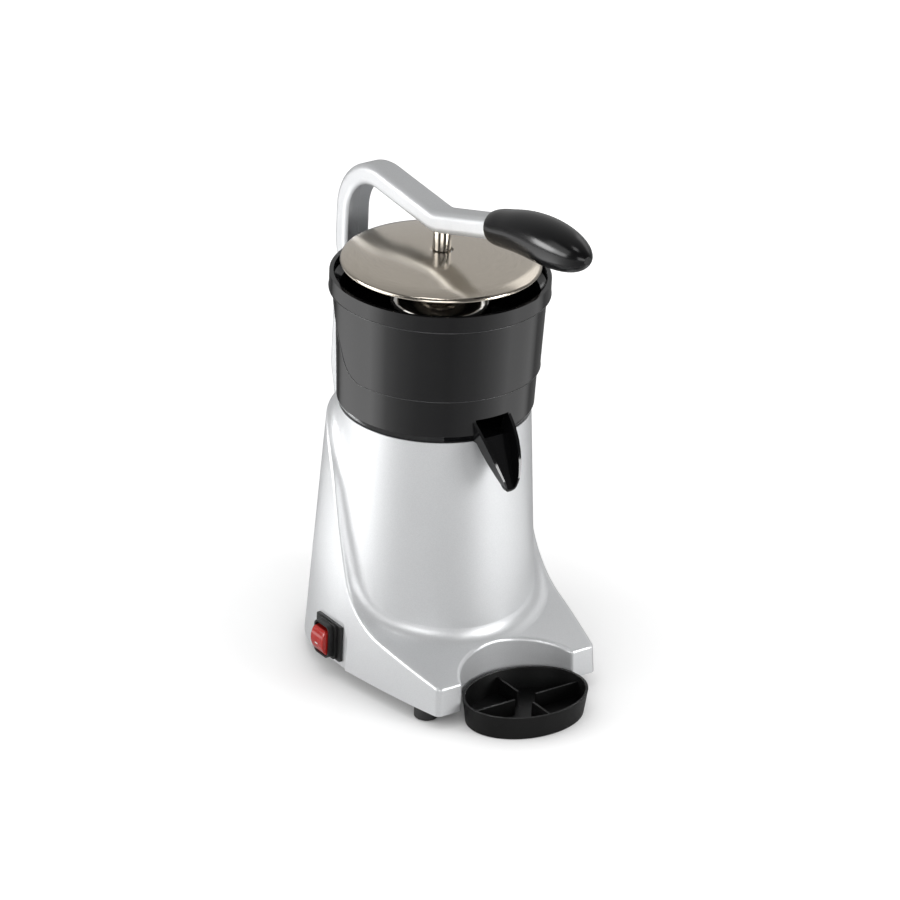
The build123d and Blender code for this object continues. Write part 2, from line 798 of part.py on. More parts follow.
with BuildPart() as cooling_fan:
    with BuildSketch(level(fan_foot_height)):
        Circle(fan_hub_radius)
        with PolarLocations((fan_radius + fan_hub_radius - fan_blade_thickness) / 2, fan_blade_count):
            Rectangle(fan_radius - fan_hub_radius + fan_blade_thickness, fan_blade_thickness)
    extrude(amount=fan_height)
    with BuildSketch(level(fan_foot_height + fan_height - fan_disc)):
        Circle(fan_radius)
    extrude(amount=fan_disc)
    with BuildSketch(level(fan_foot_height)):
        Circle(shaft_radius + running_gap)
    extrude(amount=fan_height, mode=Mode.SUBTRACT)
cooling_fan.part.label = "cooling_fan"
export_step(cooling_fan.part, "parts/cooling_fan.step")

with BuildPart() as shaft_seal:
    with BuildSketch(level(neck_height - seal_height)):
        Circle(seal_radius)
        Circle(shaft_radius + running_gap, mode=Mode.SUBTRACT)
    extrude(amount=seal_height)
shaft_seal.part.label = "shaft_seal"
export_step(shaft_seal.part, "parts/shaft_seal.step")

with BuildPart() as bowl_gasket:
    with BuildSketch(level(deck_height - gasket_thickness)):
        Circle(gasket_radius)
        Circle(gasket_radius - gasket_width, mode=Mode.SUBTRACT)
    extrude(amount=gasket_thickness)
bowl_gasket.part.label = "bowl_gasket"
export_step(bowl_gasket.part, "parts/bowl_gasket.step")

with BuildPart() as drive_dog:
    with BuildSketch(level(dog_foot_height)):
        RegularPolygon(dog_radius, side_count=6)
    extrude(amount=dog_top_height - dog_foot_height)
    with BuildSketch(level(dog_foot_height)):
        Circle(shaft_radius + running_gap)
    extrude(amount=shaft_top - dog_foot_height, mode=Mode.SUBTRACT)
drive_dog.part.label = "drive_dog"
export_step(drive_dog.part, "parts/drive_dog.step")

# Juice bowl: slim wall all round, an apron on its front and sides, a rim band, a chimney and a spout
slim_step_radius = bowl_step_radius - bowl_step_in
slim_top_radius = bowl_top_radius - bowl_step_in
floor_top = deck_height + bowl_floor_thickness
ledge_foot = bowl_step_height - 2 * ledge_width
with BuildPart() as apron:
    with BuildSketch(side()):
        Polygon(
            (slim_step_radius - loose_gap, bowl_step_height),
            (bowl_step_radius, bowl_step_height),
            (bowl_top_radius, band_height),
            (bowl_top_radius, band_height + loose_gap),
            (slim_top_radius - loose_gap, band_height + loose_gap),
            align=None,
        )
    revolve(axis=column_axis)
    sweep_run = overcut + (band_height - bowl_step_height) / tan(radians(apron_sweep_angle))
    sweep_start = (-rim_radius - overcut, bowl_step_height)
    sweep_knee = (apron_sweep_reach, bowl_step_height)
    sweep_end = (
        apron_sweep_reach + sweep_run,
        bowl_step_height + sweep_run * tan(radians(apron_sweep_angle)),
    )
    with BuildSketch(side()):
        with BuildLine():
            FilletPolyline(sweep_start, sweep_knee, sweep_end, radius=apron_sweep_round)
            Polyline(sweep_end, (sweep_start[0], sweep_end[1]), sweep_start)
        make_face()
    extrude(amount=rim_radius + overcut, both=True, mode=Mode.INTERSECT)


def spout_face(inset):
    """Front view of the spout: wide at the bowl, curving in to a round tip, taken in by an inset."""
    root = spout_half_width - inset
    belly = spout_belly - inset
    tip = spout_tip_radius - inset / 2
    shoulder = spout_tip_height + spout_tip_radius
    with BuildSketch(front(0)) as face:
        with BuildLine():
            ThreePointArc((root, spout_top_height), (belly, spout_belly_height), (tip, shoulder))
            ThreePointArc((tip, shoulder), (0, spout_tip_height + inset), (-tip, shoulder))
            ThreePointArc((-tip, shoulder), (-belly, spout_belly_height), (-root, spout_top_height))
            Line((-root, spout_top_height), (root, spout_top_height))
        make_face()
    return face.sketch


spout_heel_reach = column_radius(deck_height) + spout_wall
with BuildPart() as spout:
    with BuildSketch(side()):
        with BuildLine():
            lip = ThreePointArc(
                (-spout_top_reach, spout_top_height),
                (-spout_belly_reach, spout_belly_height),
                (-spout_nose_reach, spout_nose_height),
            )
            nose = TangentArc(lip @ 1, (-spout_tip_reach, spout_tip_height), tangent=lip % 1)
            Polyline(
                nose @ 1,
                (-spout_heel_reach, deck_height),
                (-spout_root_reach, deck_height),
                (-spout_root_reach, spout_top_height),
                lip @ 0,
            )
        make_face()
    extrude(amount=2 * spout_half_width, both=True)
    extrude(spout_face(0), amount=2 * spout_tip_reach, mode=Mode.INTERSECT)

spout_slope = Vector(spout_heel_reach - spout_tip_reach, spout_tip_height - deck_height).normalized()
trough_step = Vector(spout_slope.Y, -spout_slope.X) * spout_wall
with BuildPart() as spout_trough:
    with BuildSketch(side()):
        Polygon(
            (ledge_width - spout_root_reach, floor_top),
            (-spout_heel_reach - spout_wall / 2, floor_top),
            (trough_step.X - spout_tip_reach + overcut * spout_slope.X,
             trough_step.Y + spout_tip_height + overcut * spout_slope.Y),
            (-spout_tip_reach - 2 * overcut, spout_top_height),
            (ledge_width - spout_root_reach, spout_top_height),
            align=None,
        )
    extrude(amount=2 * spout_half_width, both=True)
    extrude(spout_face(spout_wall), amount=3 * spout_tip_reach, mode=Mode.INTERSECT)

with BuildPart() as juice_bowl:
    with BuildSketch(side()) as bowl_section:
        Polygon(
            (chimney_radius - chimney_wall, deck_height),
            (bowl_floor_radius, deck_height),
            (bowl_heel_radius, deck_height + bowl_heel_height),
            (slim_step_radius, bowl_step_height),
            (slim_top_radius, band_height),
            (bowl_top_radius, band_height),
            (rim_radius, band_height + band_cove),
            (rim_radius, rim_height),
            (rim_radius - rim_lip, rim_height),
            (rim_radius - rim_lip, rim_height - rim_inner_drop),
            (slim_top_radius - bowl_wall, band_height + band_cove),
            (slim_step_radius - bowl_wall, bowl_step_height),
            (slim_step_radius - bowl_wall - ledge_width, bowl_step_height),
            (slim_step_radius - bowl_wall - ledge_width, bowl_step_height - ledge_width),
            (slim_step_radius - bowl_wall - seat_gap, ledge_foot),
            (bowl_heel_radius - bowl_wall, floor_top + bowl_heel_height),
            (bowl_floor_radius - bowl_wall, floor_top),
            (chimney_radius, floor_top),
            (chimney_radius, bowl_step_height),
            (chimney_radius - chimney_wall, bowl_step_height),
            align=None,
        )
    revolve(axis=column_axis)
    add(apron.part)
    add(spout.part)
    add(spout_trough.part, mode=Mode.SUBTRACT)
juice_bowl.part.label = "juice_bowl"
export_step(juice_bowl.part, "parts/juice_bowl.step")

with BuildPart() as strainer:
    strainer_radius = slim_step_radius - bowl_wall - slip_gap
    slot_radius = (strainer_radius + chimney_radius) / 2
    with BuildSketch(level(bowl_step_height)):
        Circle(strainer_radius)
        Circle(chimney_radius - chimney_wall + loose_gap, mode=Mode.SUBTRACT)
        for ring in (slot_radius - strainer_slot_pitch / 2, slot_radius + strainer_slot_pitch / 2):
            with PolarLocations(ring, strainer_slot_count):
                SlotOverall(strainer_slot_length, strainer_slot_width, mode=Mode.SUBTRACT)
    extrude(amount=strainer_thickness)
strainer.part.label = "strainer"
export_step(strainer.part, "parts/strainer.step")


def reamer_half(radius, nose, turn=0.0):
    """Half section of a pointed dome from the reamer's base to its nose."""
    rise = nose - reamer_base_height
    with BuildSketch(side(turn=turn)) as half:
        with BuildLine():
            Polyline((0, nose), (0, reamer_base_height), (radius, reamer_base_height))
            ThreePointArc(
                (radius, reamer_base_height),
                (radius * reamer_belly, reamer_base_height + rise * reamer_belly_rise),
                (0, nose),
            )
        make_face()
    return half.sketch


with BuildPart() as reamer_cone:
    revolve(reamer_half(reamer_core_radius, reamer_nose_height - reamer_core_drop), axis=column_axis)
    for rib in range(reamer_rib_count):
        rib_face = reamer_half(reamer_base_radius, reamer_nose_height, rib * 360 / reamer_rib_count)
        extrude(rib_face, amount=reamer_rib_thickness / 2, both=True)
    with BuildSketch(level(reamer_base_height)):
        Circle(reamer_base_radius)
    extrude(amount=reamer_rib_thickness)
    with BuildSketch(level(sleeve_foot_height)):
        Circle(sleeve_radius)
    extrude(amount=reamer_base_height - sleeve_foot_height)
    with BuildSketch(level(sleeve_foot_height)):
        RegularPolygon(dog_radius + slip_gap, side_count=6)
    extrude(amount=dog_top_height - sleeve_foot_height + seat_gap, mode=Mode.SUBTRACT)
reamer_cone.part.label = "reamer_cone"
export_step(reamer_cone.part, "parts/reamer_cone.step")

# Hinge: a pin through the tower's ears, kept by clips, with bushes in the lever's eye
with BuildPart() as hinge_pin:
    with BuildSketch(side()):
        with Locations((pivot_reach, pivot_height)):
            Circle(pin_radius)
    extrude(amount=tower_half_width + pin_stub, both=True)
    for groove in (tower_half_width + seat_gap, -tower_half_width - seat_gap - clip_thickness):
        with BuildSketch(side(groove)):
            with Locations((pivot_reach, pivot_height)):
                Circle(pin_radius + loose_gap)
                Circle(pin_radius - clip_groove, mode=Mode.SUBTRACT)
        extrude(amount=clip_thickness, mode=Mode.SUBTRACT)
hinge_pin.part.label = "hinge_pin"
export_step(hinge_pin.part, "parts/hinge_pin.step")

with BuildPart() as hinge_pin_clips:
    for groove in (tower_half_width + seat_gap, -tower_half_width - seat_gap - clip_thickness):
        with BuildSketch(side(groove)):
            with Locations((pivot_reach, pivot_height)):
                Circle(clip_radius)
                Circle(pin_radius - clip_groove + running_gap, mode=Mode.SUBTRACT)
            with Locations((pivot_reach, pivot_height - clip_radius)):
                Rectangle(pin_radius, 2 * clip_radius, mode=Mode.SUBTRACT)
        extrude(amount=clip_thickness)
hinge_pin_clips.part.label = "hinge_pin_clips"
export_step(hinge_pin_clips.part, "parts/hinge_pin_clips.step")

with BuildPart() as hinge_bushes:
    for start in (-eye_half_width, bush_gap / 2):
        with BuildSketch(side(start)):
            with Locations((pivot_reach, pivot_height)):
                Circle(pin_radius + bush_thickness)
                Circle(pin_radius + running_gap, mode=Mode.SUBTRACT)
        extrude(amount=eye_half_width - bush_gap / 2)
hinge_bushes.part.label = "hinge_bushes"
export_step(hinge_bushes.part, "parts/hinge_bushes.step")

# Lever: eye, leaning post, arch, arm that dips to the rod and rises to the handle, and a tang in the handle
lever_corners = [
    (pivot_reach, pivot_height),
    (post_reach, post_bend_height),
    (post_reach, arm_height + arm_back_rise),
    (0, arm_height),
    (-arm_end_reach, arm_height + arm_end_rise),
]
lever_radii = [post_bend_radius, arch_radius, kink_radius]
post_lean = (post_reach - pivot_reach) / (post_bend_height - pivot_height)
arm_fall = arm_back_rise / post_reach
channel_corners = [
    (pivot_reach + (channel_foot_height - pivot_height) * post_lean, channel_foot_height),
    lever_corners[1],
    lever_corners[2],
    (channel_end_reach, arm_height + channel_end_reach * arm_fall),
]
arm_end_height = arm_height + arm_end_rise
tang_rise = tan(radians(tang_slope))
tang_corners = [
    (tang_overlap - arm_end_reach, arm_end_height - tang_overlap * tang_rise),
    (-arm_end_reach - tang_length, arm_end_height + tang_length * tang_rise),
]
handle_screw_reaches = [arm_end_reach + spot for spot in handle_screw_spots]
handle_screw_heights = [arm_end_height + spot * tang_rise for spot in handle_screw_spots]
handle_screws_at = list(zip(handle_screw_reaches, handle_screw_heights))
spotface_height = arm_height - lever_half_thickness + rod_spotface_depth


def tang_face(margin):
    """Side view of the tang, grown by a margin."""
    upper, _ = parallel(tang_corners, [], -tang_half_thickness - margin)
    lower, _ = parallel(tang_corners, [], tang_half_thickness + margin)
    with BuildSketch(side()) as face:
        Polygon(*upper, *reversed(lower), align=None)
    return face.sketch


with BuildPart() as lever_arm:
    extrude(
        ribbon(lever_corners, lever_radii, -lever_half_thickness, lever_half_thickness),
        amount=lever_half_width,
        both=True,
    )
    long_edges = lever_arm.faces().filter_by(Axis.X).edges().filter_by(
        lambda edge: edge.center().Y > axis_y - arm_end_reach + lever_half_thickness
    )
    fillet(long_edges, radius=lever_edge_round)
    extrude(
        ribbon(
            channel_corners,
            lever_radii[:2],
            channel_back - lever_half_thickness,
            lever_half_thickness + lever_edge_round,
        ),
        amount=lever_half_width - channel_wall,
        both=True,
        mode=Mode.SUBTRACT,
    )
    with BuildSketch(side()):
        with Locations((pivot_reach, pivot_height)):
            Circle(lever_eye_radius)
    extrude(amount=eye_half_width, both=True)
    extrude(tang_face(0), amount=tang_half_width, both=True)
    with BuildSketch(side()):
        with Locations((pivot_reach, pivot_height)):
            Circle(pin_radius + bush_thickness + running_gap)
    extrude(amount=eye_half_width, both=True, mode=Mode.SUBTRACT)
    with BuildSketch(level(spotface_height)):
        Circle(rod_radius + loose_gap)
    extrude(amount=-lever_half_thickness, mode=Mode.SUBTRACT)
    with BuildSketch(level(spotface_height)):
        Circle(rod_stud_radius + seat_gap)
    extrude(amount=rod_stud_length + seat_gap, mode=Mode.SUBTRACT)
    with BuildSketch(level(arm_height)):
        with Locations(*[(0, -reach) for reach in handle_screw_reaches]):
            Circle(handle_screw_radius + seat_gap)
    extrude(amount=2 * arm_end_rise + tang_length, mode=Mode.SUBTRACT)
lever_arm.part.label = "lever_arm"
export_step(lever_arm.part, "parts/lever_arm.step")

post_front = pivot_reach + (stop_height - bumper_radius - pivot_height) * post_lean
post_front -= lever_half_thickness * sqrt(1 + post_lean**2)
web_rear = pivot_reach - ear_radius + web_thickness
with BuildPart() as lever_stop_bumper:
    with BuildSketch(front(-web_rear)):
        with Locations((0, stop_height)):
            Circle(bumper_radius)
    extrude(amount=web_rear + slip_gap - post_front)
lever_stop_bumper.part.label = "lever_stop_bumper"
export_step(lever_stop_bumper.part, "parts/lever_stop_bumper.step")

# Handle: a club-shaped grip in two halves, screwed together through the tang
grip_stations = [
    (arm_end_reach + past, arm_end_height + rise, radius) for past, rise, radius in grip_sections
]
grip_centres = [(-reach, height) for reach, height, _ in grip_stations]
with BuildPart() as grip:
    for index, (reach, height, radius) in enumerate(grip_stations):
        before = grip_stations[max(index - 1, 0)]
        after = grip_stations[min(index + 1, len(grip_stations) - 1)]
        along = Vector(0, before[0] - after[0], after[1] - before[1])
        station = Plane(origin=(axis_x, axis_y - reach, height), x_dir=(1, 0, 0), z_dir=along.normalized())
        with BuildSketch(station):
            Circle(radius)
    loft()
    extrude(tang_face(seat_gap), amount=tang_half_width + seat_gap, both=True, mode=Mode.SUBTRACT)
    for reach, height in handle_screws_at:
        with BuildSketch(level(height - handle_screw_drop)):
            with Locations((0, -reach)):
                Circle(handle_screw_radius + seat_gap)
        extrude(amount=handle_screw_length + seat_gap, mode=Mode.SUBTRACT)
        with BuildSketch(level(height - handle_screw_drop)):
            with Locations((0, -reach)):
                Circle(handle_screw_head + seat_gap)
        extrude(amount=-arm_end_rise, mode=Mode.SUBTRACT)


def grip_half(rise):
    """The grip on one side of its seam, which follows the middle of its sections."""
    start = (grip_centres[0][0] + overcut, grip_centres[0][1])
    end = (grip_centres[-1][0] - overcut, grip_centres[-1][1])
    with BuildPart() as half:
        add(grip.part)
        with BuildSketch(side()):
            with BuildLine():
                Spline(start, *grip_centres, end)
                Polyline(end, (end[0], end[1] + rise), (start[0], start[1] + rise), start)
            make_face()
        extrude(amount=2 * overcut, both=True, mode=Mode.INTERSECT)
    return half.part


with BuildPart() as handle_upper_half:
    add(grip_half(2 * overcut))
handle_upper_half.part.label = "handle_upper_half"
export_step(handle_upper_half.part, "parts/handle_upper_half.step")

with BuildPart() as handle_lower_half:
    add(grip_half(-2 * overcut))
handle_lower_half.part.label = "handle_lower_half"
export_step(handle_lower_half.part, "parts/handle_lower_half.step")

with BuildPart() as handle_screws:
    for reach, height in handle_screws_at:
        with BuildSketch(level(height - handle_screw_drop)):
            with Locations((0, -reach)):
                Circle(handle_screw_radius)
        extrude(amount=handle_screw_length)
        with BuildSketch(level(height - handle_screw_drop)):
            with Locations((0, -reach)):
                Circle(handle_screw_head)
        extrude(amount=-handle_screw_head_height)
handle_screws.part.label = "handle_screws"
export_step(handle_screws.part, "parts/handle_screws.step")

# Press rod, its cup, the collar that carries the lid, and the lid
with BuildPart() as press_rod:
    with BuildSketch(level(cup_top_height)):
        Circle(rod_radius)
    extrude(amount=spotface_height - cup_top_height)
    with BuildSketch(level(spotface_height)):
        Circle(rod_stud_radius)
    extrude(amount=rod_stud_length)
    with BuildSketch(level(cup_top_height)):
        Circle(cup_screw_radius + seat_gap)
    extrude(amount=cup_screw_length, mode=Mode.SUBTRACT)
press_rod.part.label = "press_rod"
export_step(press_rod.part, "parts/press_rod.step")

with BuildPart() as pressing_cup:
    with BuildSketch(side()) as cup_section:
        with BuildLine():
            land = Line((0, cup_top_height), (cup_land_radius, cup_top_height))
            dome = TangentArc(land @ 1, (cup_radius, cup_top_height - cup_dome_drop), tangent=land % 1)
            Polyline(dome @ 1, (cup_radius, cup_mouth_height), (0, cup_mouth_height), land @ 0)
        make_face()
        cup_corner = (cup_radius, cup_top_height - cup_dome_drop)
        fillet(cup_section.vertices().sort_by_distance(cup_corner)[0], radius=cup_corner_round)
    revolve(axis=column_axis)
    offset(amount=-cup_thickness, openings=pressing_cup.faces().sort_by(Axis.Z)[0])
    with BuildSketch(level(cup_top_height)):
        Circle(cup_screw_radius + seat_gap)
    extrude(amount=-2 * cup_thickness, mode=Mode.SUBTRACT)
pressing_cup.part.label = "pressing_cup"
export_step(pressing_cup.part, "parts/pressing_cup.step")

with BuildPart() as cup_screw:
    with BuildSketch(level(cup_top_height - cup_thickness)):
        RegularPolygon(cup_screw_head, side_count=6)
    extrude(amount=-cup_screw_head_height)
    with BuildSketch(level(cup_top_height - cup_thickness)):
        Circle(cup_screw_radius)
    extrude(amount=cup_screw_length)
cup_screw.part.label = "cup_screw"
export_step(cup_screw.part, "parts/cup_screw.step")

lid_underside = lid_top_height - lid_thickness
with BuildPart() as lid_seat_collar:
    with BuildSketch(level(cup_top_height)):
        Circle(collar_radius)
        Circle(rod_radius + seat_gap, mode=Mode.SUBTRACT)
    extrude(amount=lid_underside - seat_gap - cup_top_height)
lid_seat_collar.part.label = "lid_seat_collar"
export_step(lid_seat_collar.part, "parts/lid_seat_collar.step")

with BuildPart() as lid:
    with BuildSketch(side()) as lid_section:
        with BuildLine():
            land = Line((0, lid_top_height), (lid_land_radius, lid_top_height))
            dome = TangentArc(
                land @ 1, (lid_dome_radius, lid_top_height - lid_dome_drop), tangent=land % 1
            )
            roll = TangentArc(dome @ 1, (lid_radius, lid_edge_height + lid_lip), tangent=dome % 1)
            Polyline(roll @ 1, (lid_radius, lid_edge_height), (0, lid_edge_height), land @ 0)
        make_face()
        lip_corner = (lid_radius, lid_edge_height + lid_lip)
        fillet(lid_section.vertices().sort_by_distance(lip_corner)[0], radius=lid_lip_round)
    revolve(axis=column_axis)
    offset(amount=-lid_thickness, openings=lid.faces().sort_by(Axis.Z)[0])
    with BuildSketch(level(lid_top_height)):
        Circle(lid_hole_radius)
    extrude(amount=-2 * lid_thickness, mode=Mode.SUBTRACT)
lid.part.label = "lid"
export_step(lid.part, "parts/lid.step")

# Rocker switch: bezel on the panel, body behind it, rocker between, terminals inside
switch_at = (-panel_shift, switch_height)
well_length = rocker_length + 2 * slip_gap
well_height = rocker_height + 2 * rocker_swing_gap
with BuildPart() as switch_bezel:
    with BuildSketch(left(panel_reach)):
        with Locations(switch_at):
            RectangleRounded(bezel_length, bezel_height, rocker_round)
    extrude(amount=bezel_flange)
    with BuildSketch(left(panel_reach + bezel_flange)):
        with Locations(switch_at):
            RectangleRounded(collar_length, collar_height, collar_round)
    extrude(amount=collar_rise)
    with BuildSketch(left(panel_reach + bezel_flange + collar_rise)):
        with Locations(switch_at):
            RectangleRounded(boot_length, boot_height, boot_round)
    extrude(amount=boot_rise)
    with BuildSketch(left(panel_reach)):
        with Locations(switch_at):
            RectangleRounded(well_length, well_height, rocker_corner_round)
    extrude(amount=bezel_flange + collar_rise + boot_rise, mode=Mode.SUBTRACT)
switch_bezel.part.label = "switch_bezel"
export_step(switch_bezel.part, "parts/switch_bezel.step")

with BuildPart() as switch_body:
    with BuildSketch(left(panel_reach)):
        with Locations(switch_at):
            Rectangle(switch_body_length, switch_body_height)
    extrude(amount=-switch_body_depth)
    with BuildSketch(left(panel_reach)):
        with Locations(switch_at):
            Rectangle(well_length, well_height)
    extrude(amount=-rocker_well_depth, mode=Mode.SUBTRACT)
switch_body.part.label = "switch_body"
export_step(switch_body.part, "parts/switch_body.step")

rocker_pivot_reach = panel_reach - rocker_pivot_depth
rocker_crest = switch_reach - rocker_pivot_reach
tilt = radians(rocker_tilt)
rocker_plane = Plane(
    origin=(axis_x - rocker_pivot_reach, axis_y + panel_shift, switch_height),
    x_dir=(-cos(tilt), 0, -sin(tilt)),
    z_dir=(0, 1, 0),
)
with BuildPart() as switch_rocker:
    with BuildSketch(rocker_plane):
        with BuildLine():
            Polyline(
                (rocker_crest - rocker_crown, -rocker_height / 2),
                (-rocker_tail, -rocker_base_height / 2),
                (-rocker_tail, rocker_base_height / 2),
                (rocker_crest - rocker_crown, rocker_height / 2),
            )
            ThreePointArc(
                (rocker_crest - rocker_crown, rocker_height / 2),
                (rocker_crest, 0),
                (rocker_crest - rocker_crown, -rocker_height / 2),
            )
        make_face()
    extrude(amount=rocker_length / 2, both=True)
    with BuildSketch(Plane(rocker_plane.origin, x_dir=(0, 1, 0), z_dir=rocker_plane.x_dir)):
        RectangleRounded(rocker_length, rocker_height, rocker_corner_round)
    extrude(amount=2 * rocker_crest, both=True, mode=Mode.INTERSECT)
    fillet(switch_rocker.faces().sort_by(Axis.X)[0].edges(), radius=rocker_round)
switch_rocker.part.label = "switch_rocker"
export_step(switch_rocker.part, "parts/switch_rocker.step")

with BuildPart() as switch_terminals:
    with BuildSketch(left(panel_reach - switch_body_depth)):
        with Locations(switch_at):
            with GridLocations(0, terminal_spread, 1, 3):
                Rectangle(terminal_width, terminal_thickness)
    extrude(amount=-terminal_length)
switch_terminals.part.label = "switch_terminals"
export_step(switch_terminals.part, "parts/switch_terminals.step")

# Electrics on the base plate, and the grommet where a lead would enter
plate_top = base_clearance + plate_thickness
with BuildPart() as run_capacitor:
    with BuildSketch(level(plate_top)):
        with Locations(capacitor_spot):
            Circle(capacitor_radius)
    extrude(amount=capacitor_height)
    fillet(run_capacitor.faces().sort_by(Axis.Z)[-1].edges(), radius=capacitor_stud_radius)
    with BuildSketch(level(plate_top + capacitor_height - capacitor_stud_radius)):
        with Locations(capacitor_spot):
            with GridLocations(capacitor_radius, 0, 2, 1):
                Circle(capacitor_stud_radius)
    extrude(amount=capacitor_stud_height)
run_capacitor.part.label = "run_capacitor"
export_step(run_capacitor.part, "parts/run_capacitor.step")

clamp_radius = capacitor_radius + seat_gap + clamp_thickness
clamp_foot_spot = (capacitor_spot[0] - clamp_radius - clamp_foot_length / 2, capacitor_spot[1])
with BuildPart() as capacitor_clamp:
    with BuildSketch(level(plate_top)):
        with Locations(capacitor_spot):
            Circle(clamp_radius)
    extrude(amount=clamp_height)
    with BuildSketch(level(plate_top)):
        with Locations(clamp_foot_spot):
            Rectangle(clamp_foot_length + 2 * clamp_thickness, clamp_height)
    extrude(amount=clamp_thickness)
    with BuildSketch(level(plate_top)):
        with Locations(capacitor_spot):
            Circle(capacitor_radius + seat_gap)
        with Locations(clamp_foot_spot):
            Circle(clamp_screw_radius + seat_gap)
    extrude(amount=clamp_height, mode=Mode.SUBTRACT)
capacitor_clamp.part.label = "capacitor_clamp"
export_step(capacitor_clamp.part, "parts/capacitor_clamp.step")

with BuildPart() as capacitor_clamp_screw:
    with BuildSketch(level(plate_top)):
        with Locations(clamp_foot_spot):
            Circle(clamp_screw_radius)
    extrude(amount=clamp_thickness)
    with BuildSketch(level(plate_top + clamp_thickness)):
        with Locations(clamp_foot_spot):
            Circle(2 * clamp_screw_radius)
    extrude(amount=clamp_screw_radius)
capacitor_clamp_screw.part.label = "capacitor_clamp_screw"
export_step(capacitor_clamp_screw.part, "parts/capacitor_clamp_screw.step")

with BuildPart() as terminal_block:
    with BuildSketch(level(plate_top)):
        with Locations(terminal_block_spot):
            Rectangle(terminal_block_length, terminal_block_width)
    extrude(amount=terminal_block_height)
    with BuildSketch(level(plate_top + terminal_block_height)):
        with Locations(terminal_block_spot):
            with GridLocations(terminal_pitch, terminal_block_width / 2, 3, 2):
                Circle(terminal_pitch / 4)
    extrude(amount=-terminal_block_height / 2, mode=Mode.SUBTRACT)
terminal_block.part.label = "terminal_block"
export_step(terminal_block.part, "parts/terminal_block.step")

grommet_seat = rear_reach(grommet_height) - grommet_seat_depth
grommet_back = rear_reach(grommet_height) - wall - grommet_back_gap
with BuildPart() as cord_grommet:
    with BuildSketch(side()):
        Polygon(
            (grommet_back - grommet_flange, grommet_height + grommet_bore),
            (grommet_back - grommet_flange, grommet_height + grommet_flange_radius),
            (grommet_back, grommet_height + grommet_flange_radius),
            (grommet_back, grommet_height + grommet_neck_radius),
            (grommet_seat, grommet_height + grommet_neck_radius),
            (grommet_seat, grommet_height + grommet_flange_radius),
            (grommet_seat + grommet_flange, grommet_height + grommet_flange_radius),
            (grommet_seat + grommet_flange, grommet_height + grommet_bore),
            align=None,
        )
    revolve(axis=Axis((axis_x, axis_y, grommet_height), (0, 1, 0)))
cord_grommet.part.label = "cord_grommet"
export_step(cord_grommet.part, "parts/cord_grommet.step")

# Drip tray: an oval dish with leaning walls and four ribs that stop short of its middle
def tray_form(inset, foot):
    """Oval that widens from its foot to the tray's rim, taken in by an inset."""
    with BuildPart() as form:
        for height, lean in ((foot, tray_draft), (tray_height, 0)):
            with BuildSketch(level(height)):
                with Locations((0, -tray_reach)):
                    Ellipse(tray_half_length - inset - lean, tray_half_depth - inset - lean)
        loft()
    return form.part


with BuildPart() as tray_ribs:
    long_rib = tray_half_length - tray_rib_gap
    short_rib = tray_half_depth - tray_rib_gap
    with BuildSketch(level(0)):
        with Locations((0, -tray_reach)):
            with GridLocations(2 * tray_rib_gap + long_rib, 0, 2, 1):
                Rectangle(long_rib, tray_rib_thickness)
            with GridLocations(0, 2 * tray_rib_gap + short_rib, 1, 2):
                Rectangle(tray_rib_thickness, short_rib)
    extrude(amount=tray_height - tray_rib_drop)
    add(tray_form(tray_wall / 2, 0), mode=Mode.INTERSECT)

with BuildPart() as drip_tray:
    add(tray_form(0, 0))
    add(tray_form(tray_wall, tray_floor), mode=Mode.SUBTRACT)
    add(tray_ribs.part)
drip_tray.part.label = "drip_tray"
export_step(drip_tray.part, "parts/drip_tray.step")
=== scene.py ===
# %% [markdown]
# # An electric citrus juicer, dressed for its picture
# The solids come from CAD: a cast column, a juice bowl, a lever press and the motor inside. They arrive at
# their real size and in their real place. This lesson keeps those solids as the skeleton, gives every one
# of them a finish that is made of shader nodes, adds a few small pieces on top of them, and lights the
# whole like a product on white.

# %% Load the CAD frame
import json
import math

import bmesh
import bpy
from mathutils import Matrix, Vector
from mathutils.bvhtree import BVHTree


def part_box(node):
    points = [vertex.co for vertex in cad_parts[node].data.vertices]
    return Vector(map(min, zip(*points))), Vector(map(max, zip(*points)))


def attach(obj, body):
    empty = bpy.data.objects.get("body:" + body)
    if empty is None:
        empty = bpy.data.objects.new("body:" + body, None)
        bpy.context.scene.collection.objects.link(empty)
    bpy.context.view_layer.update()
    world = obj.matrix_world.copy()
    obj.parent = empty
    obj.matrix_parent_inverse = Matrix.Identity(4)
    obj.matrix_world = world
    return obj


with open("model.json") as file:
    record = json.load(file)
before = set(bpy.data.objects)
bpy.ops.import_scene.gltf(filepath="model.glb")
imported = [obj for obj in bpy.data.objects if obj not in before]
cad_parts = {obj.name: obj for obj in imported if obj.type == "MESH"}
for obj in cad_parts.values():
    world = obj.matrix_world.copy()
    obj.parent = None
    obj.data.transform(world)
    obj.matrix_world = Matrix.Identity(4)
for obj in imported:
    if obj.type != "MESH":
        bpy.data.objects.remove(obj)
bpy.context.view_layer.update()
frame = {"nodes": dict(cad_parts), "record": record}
nodes = frame["nodes"]

# %% [markdown]
# ## Where things are
# Later steps need the column's axis. The press rod stands on it, so the middle of the rod's box gives it, and
# nothing has to be typed in twice.

# %% The column's axis
rod_low, rod_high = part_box("press_rod")
axis_x = (rod_low.x + rod_high.x) / 2
axis_y = (rod_low.y + rod_high.y) / 2
print("column axis at", round(axis_x, 4), round(axis_y, 4))

# %% [markdown]
# ## Smooth shading and soft edges
# CAD meshes are made of flat triangles, and real castings and mouldings have no knife edges. Smooth shading
# and a bevel modifier put that right and leave the points of the CAD mesh where they are. The bevel rounds
# only the edges that turn by more than an angle, and its hardened normals keep the large faces flat while
# the narrow bevels catch the light. A polish of the mesh itself would also do, but a frame that other
# programs share must not change.

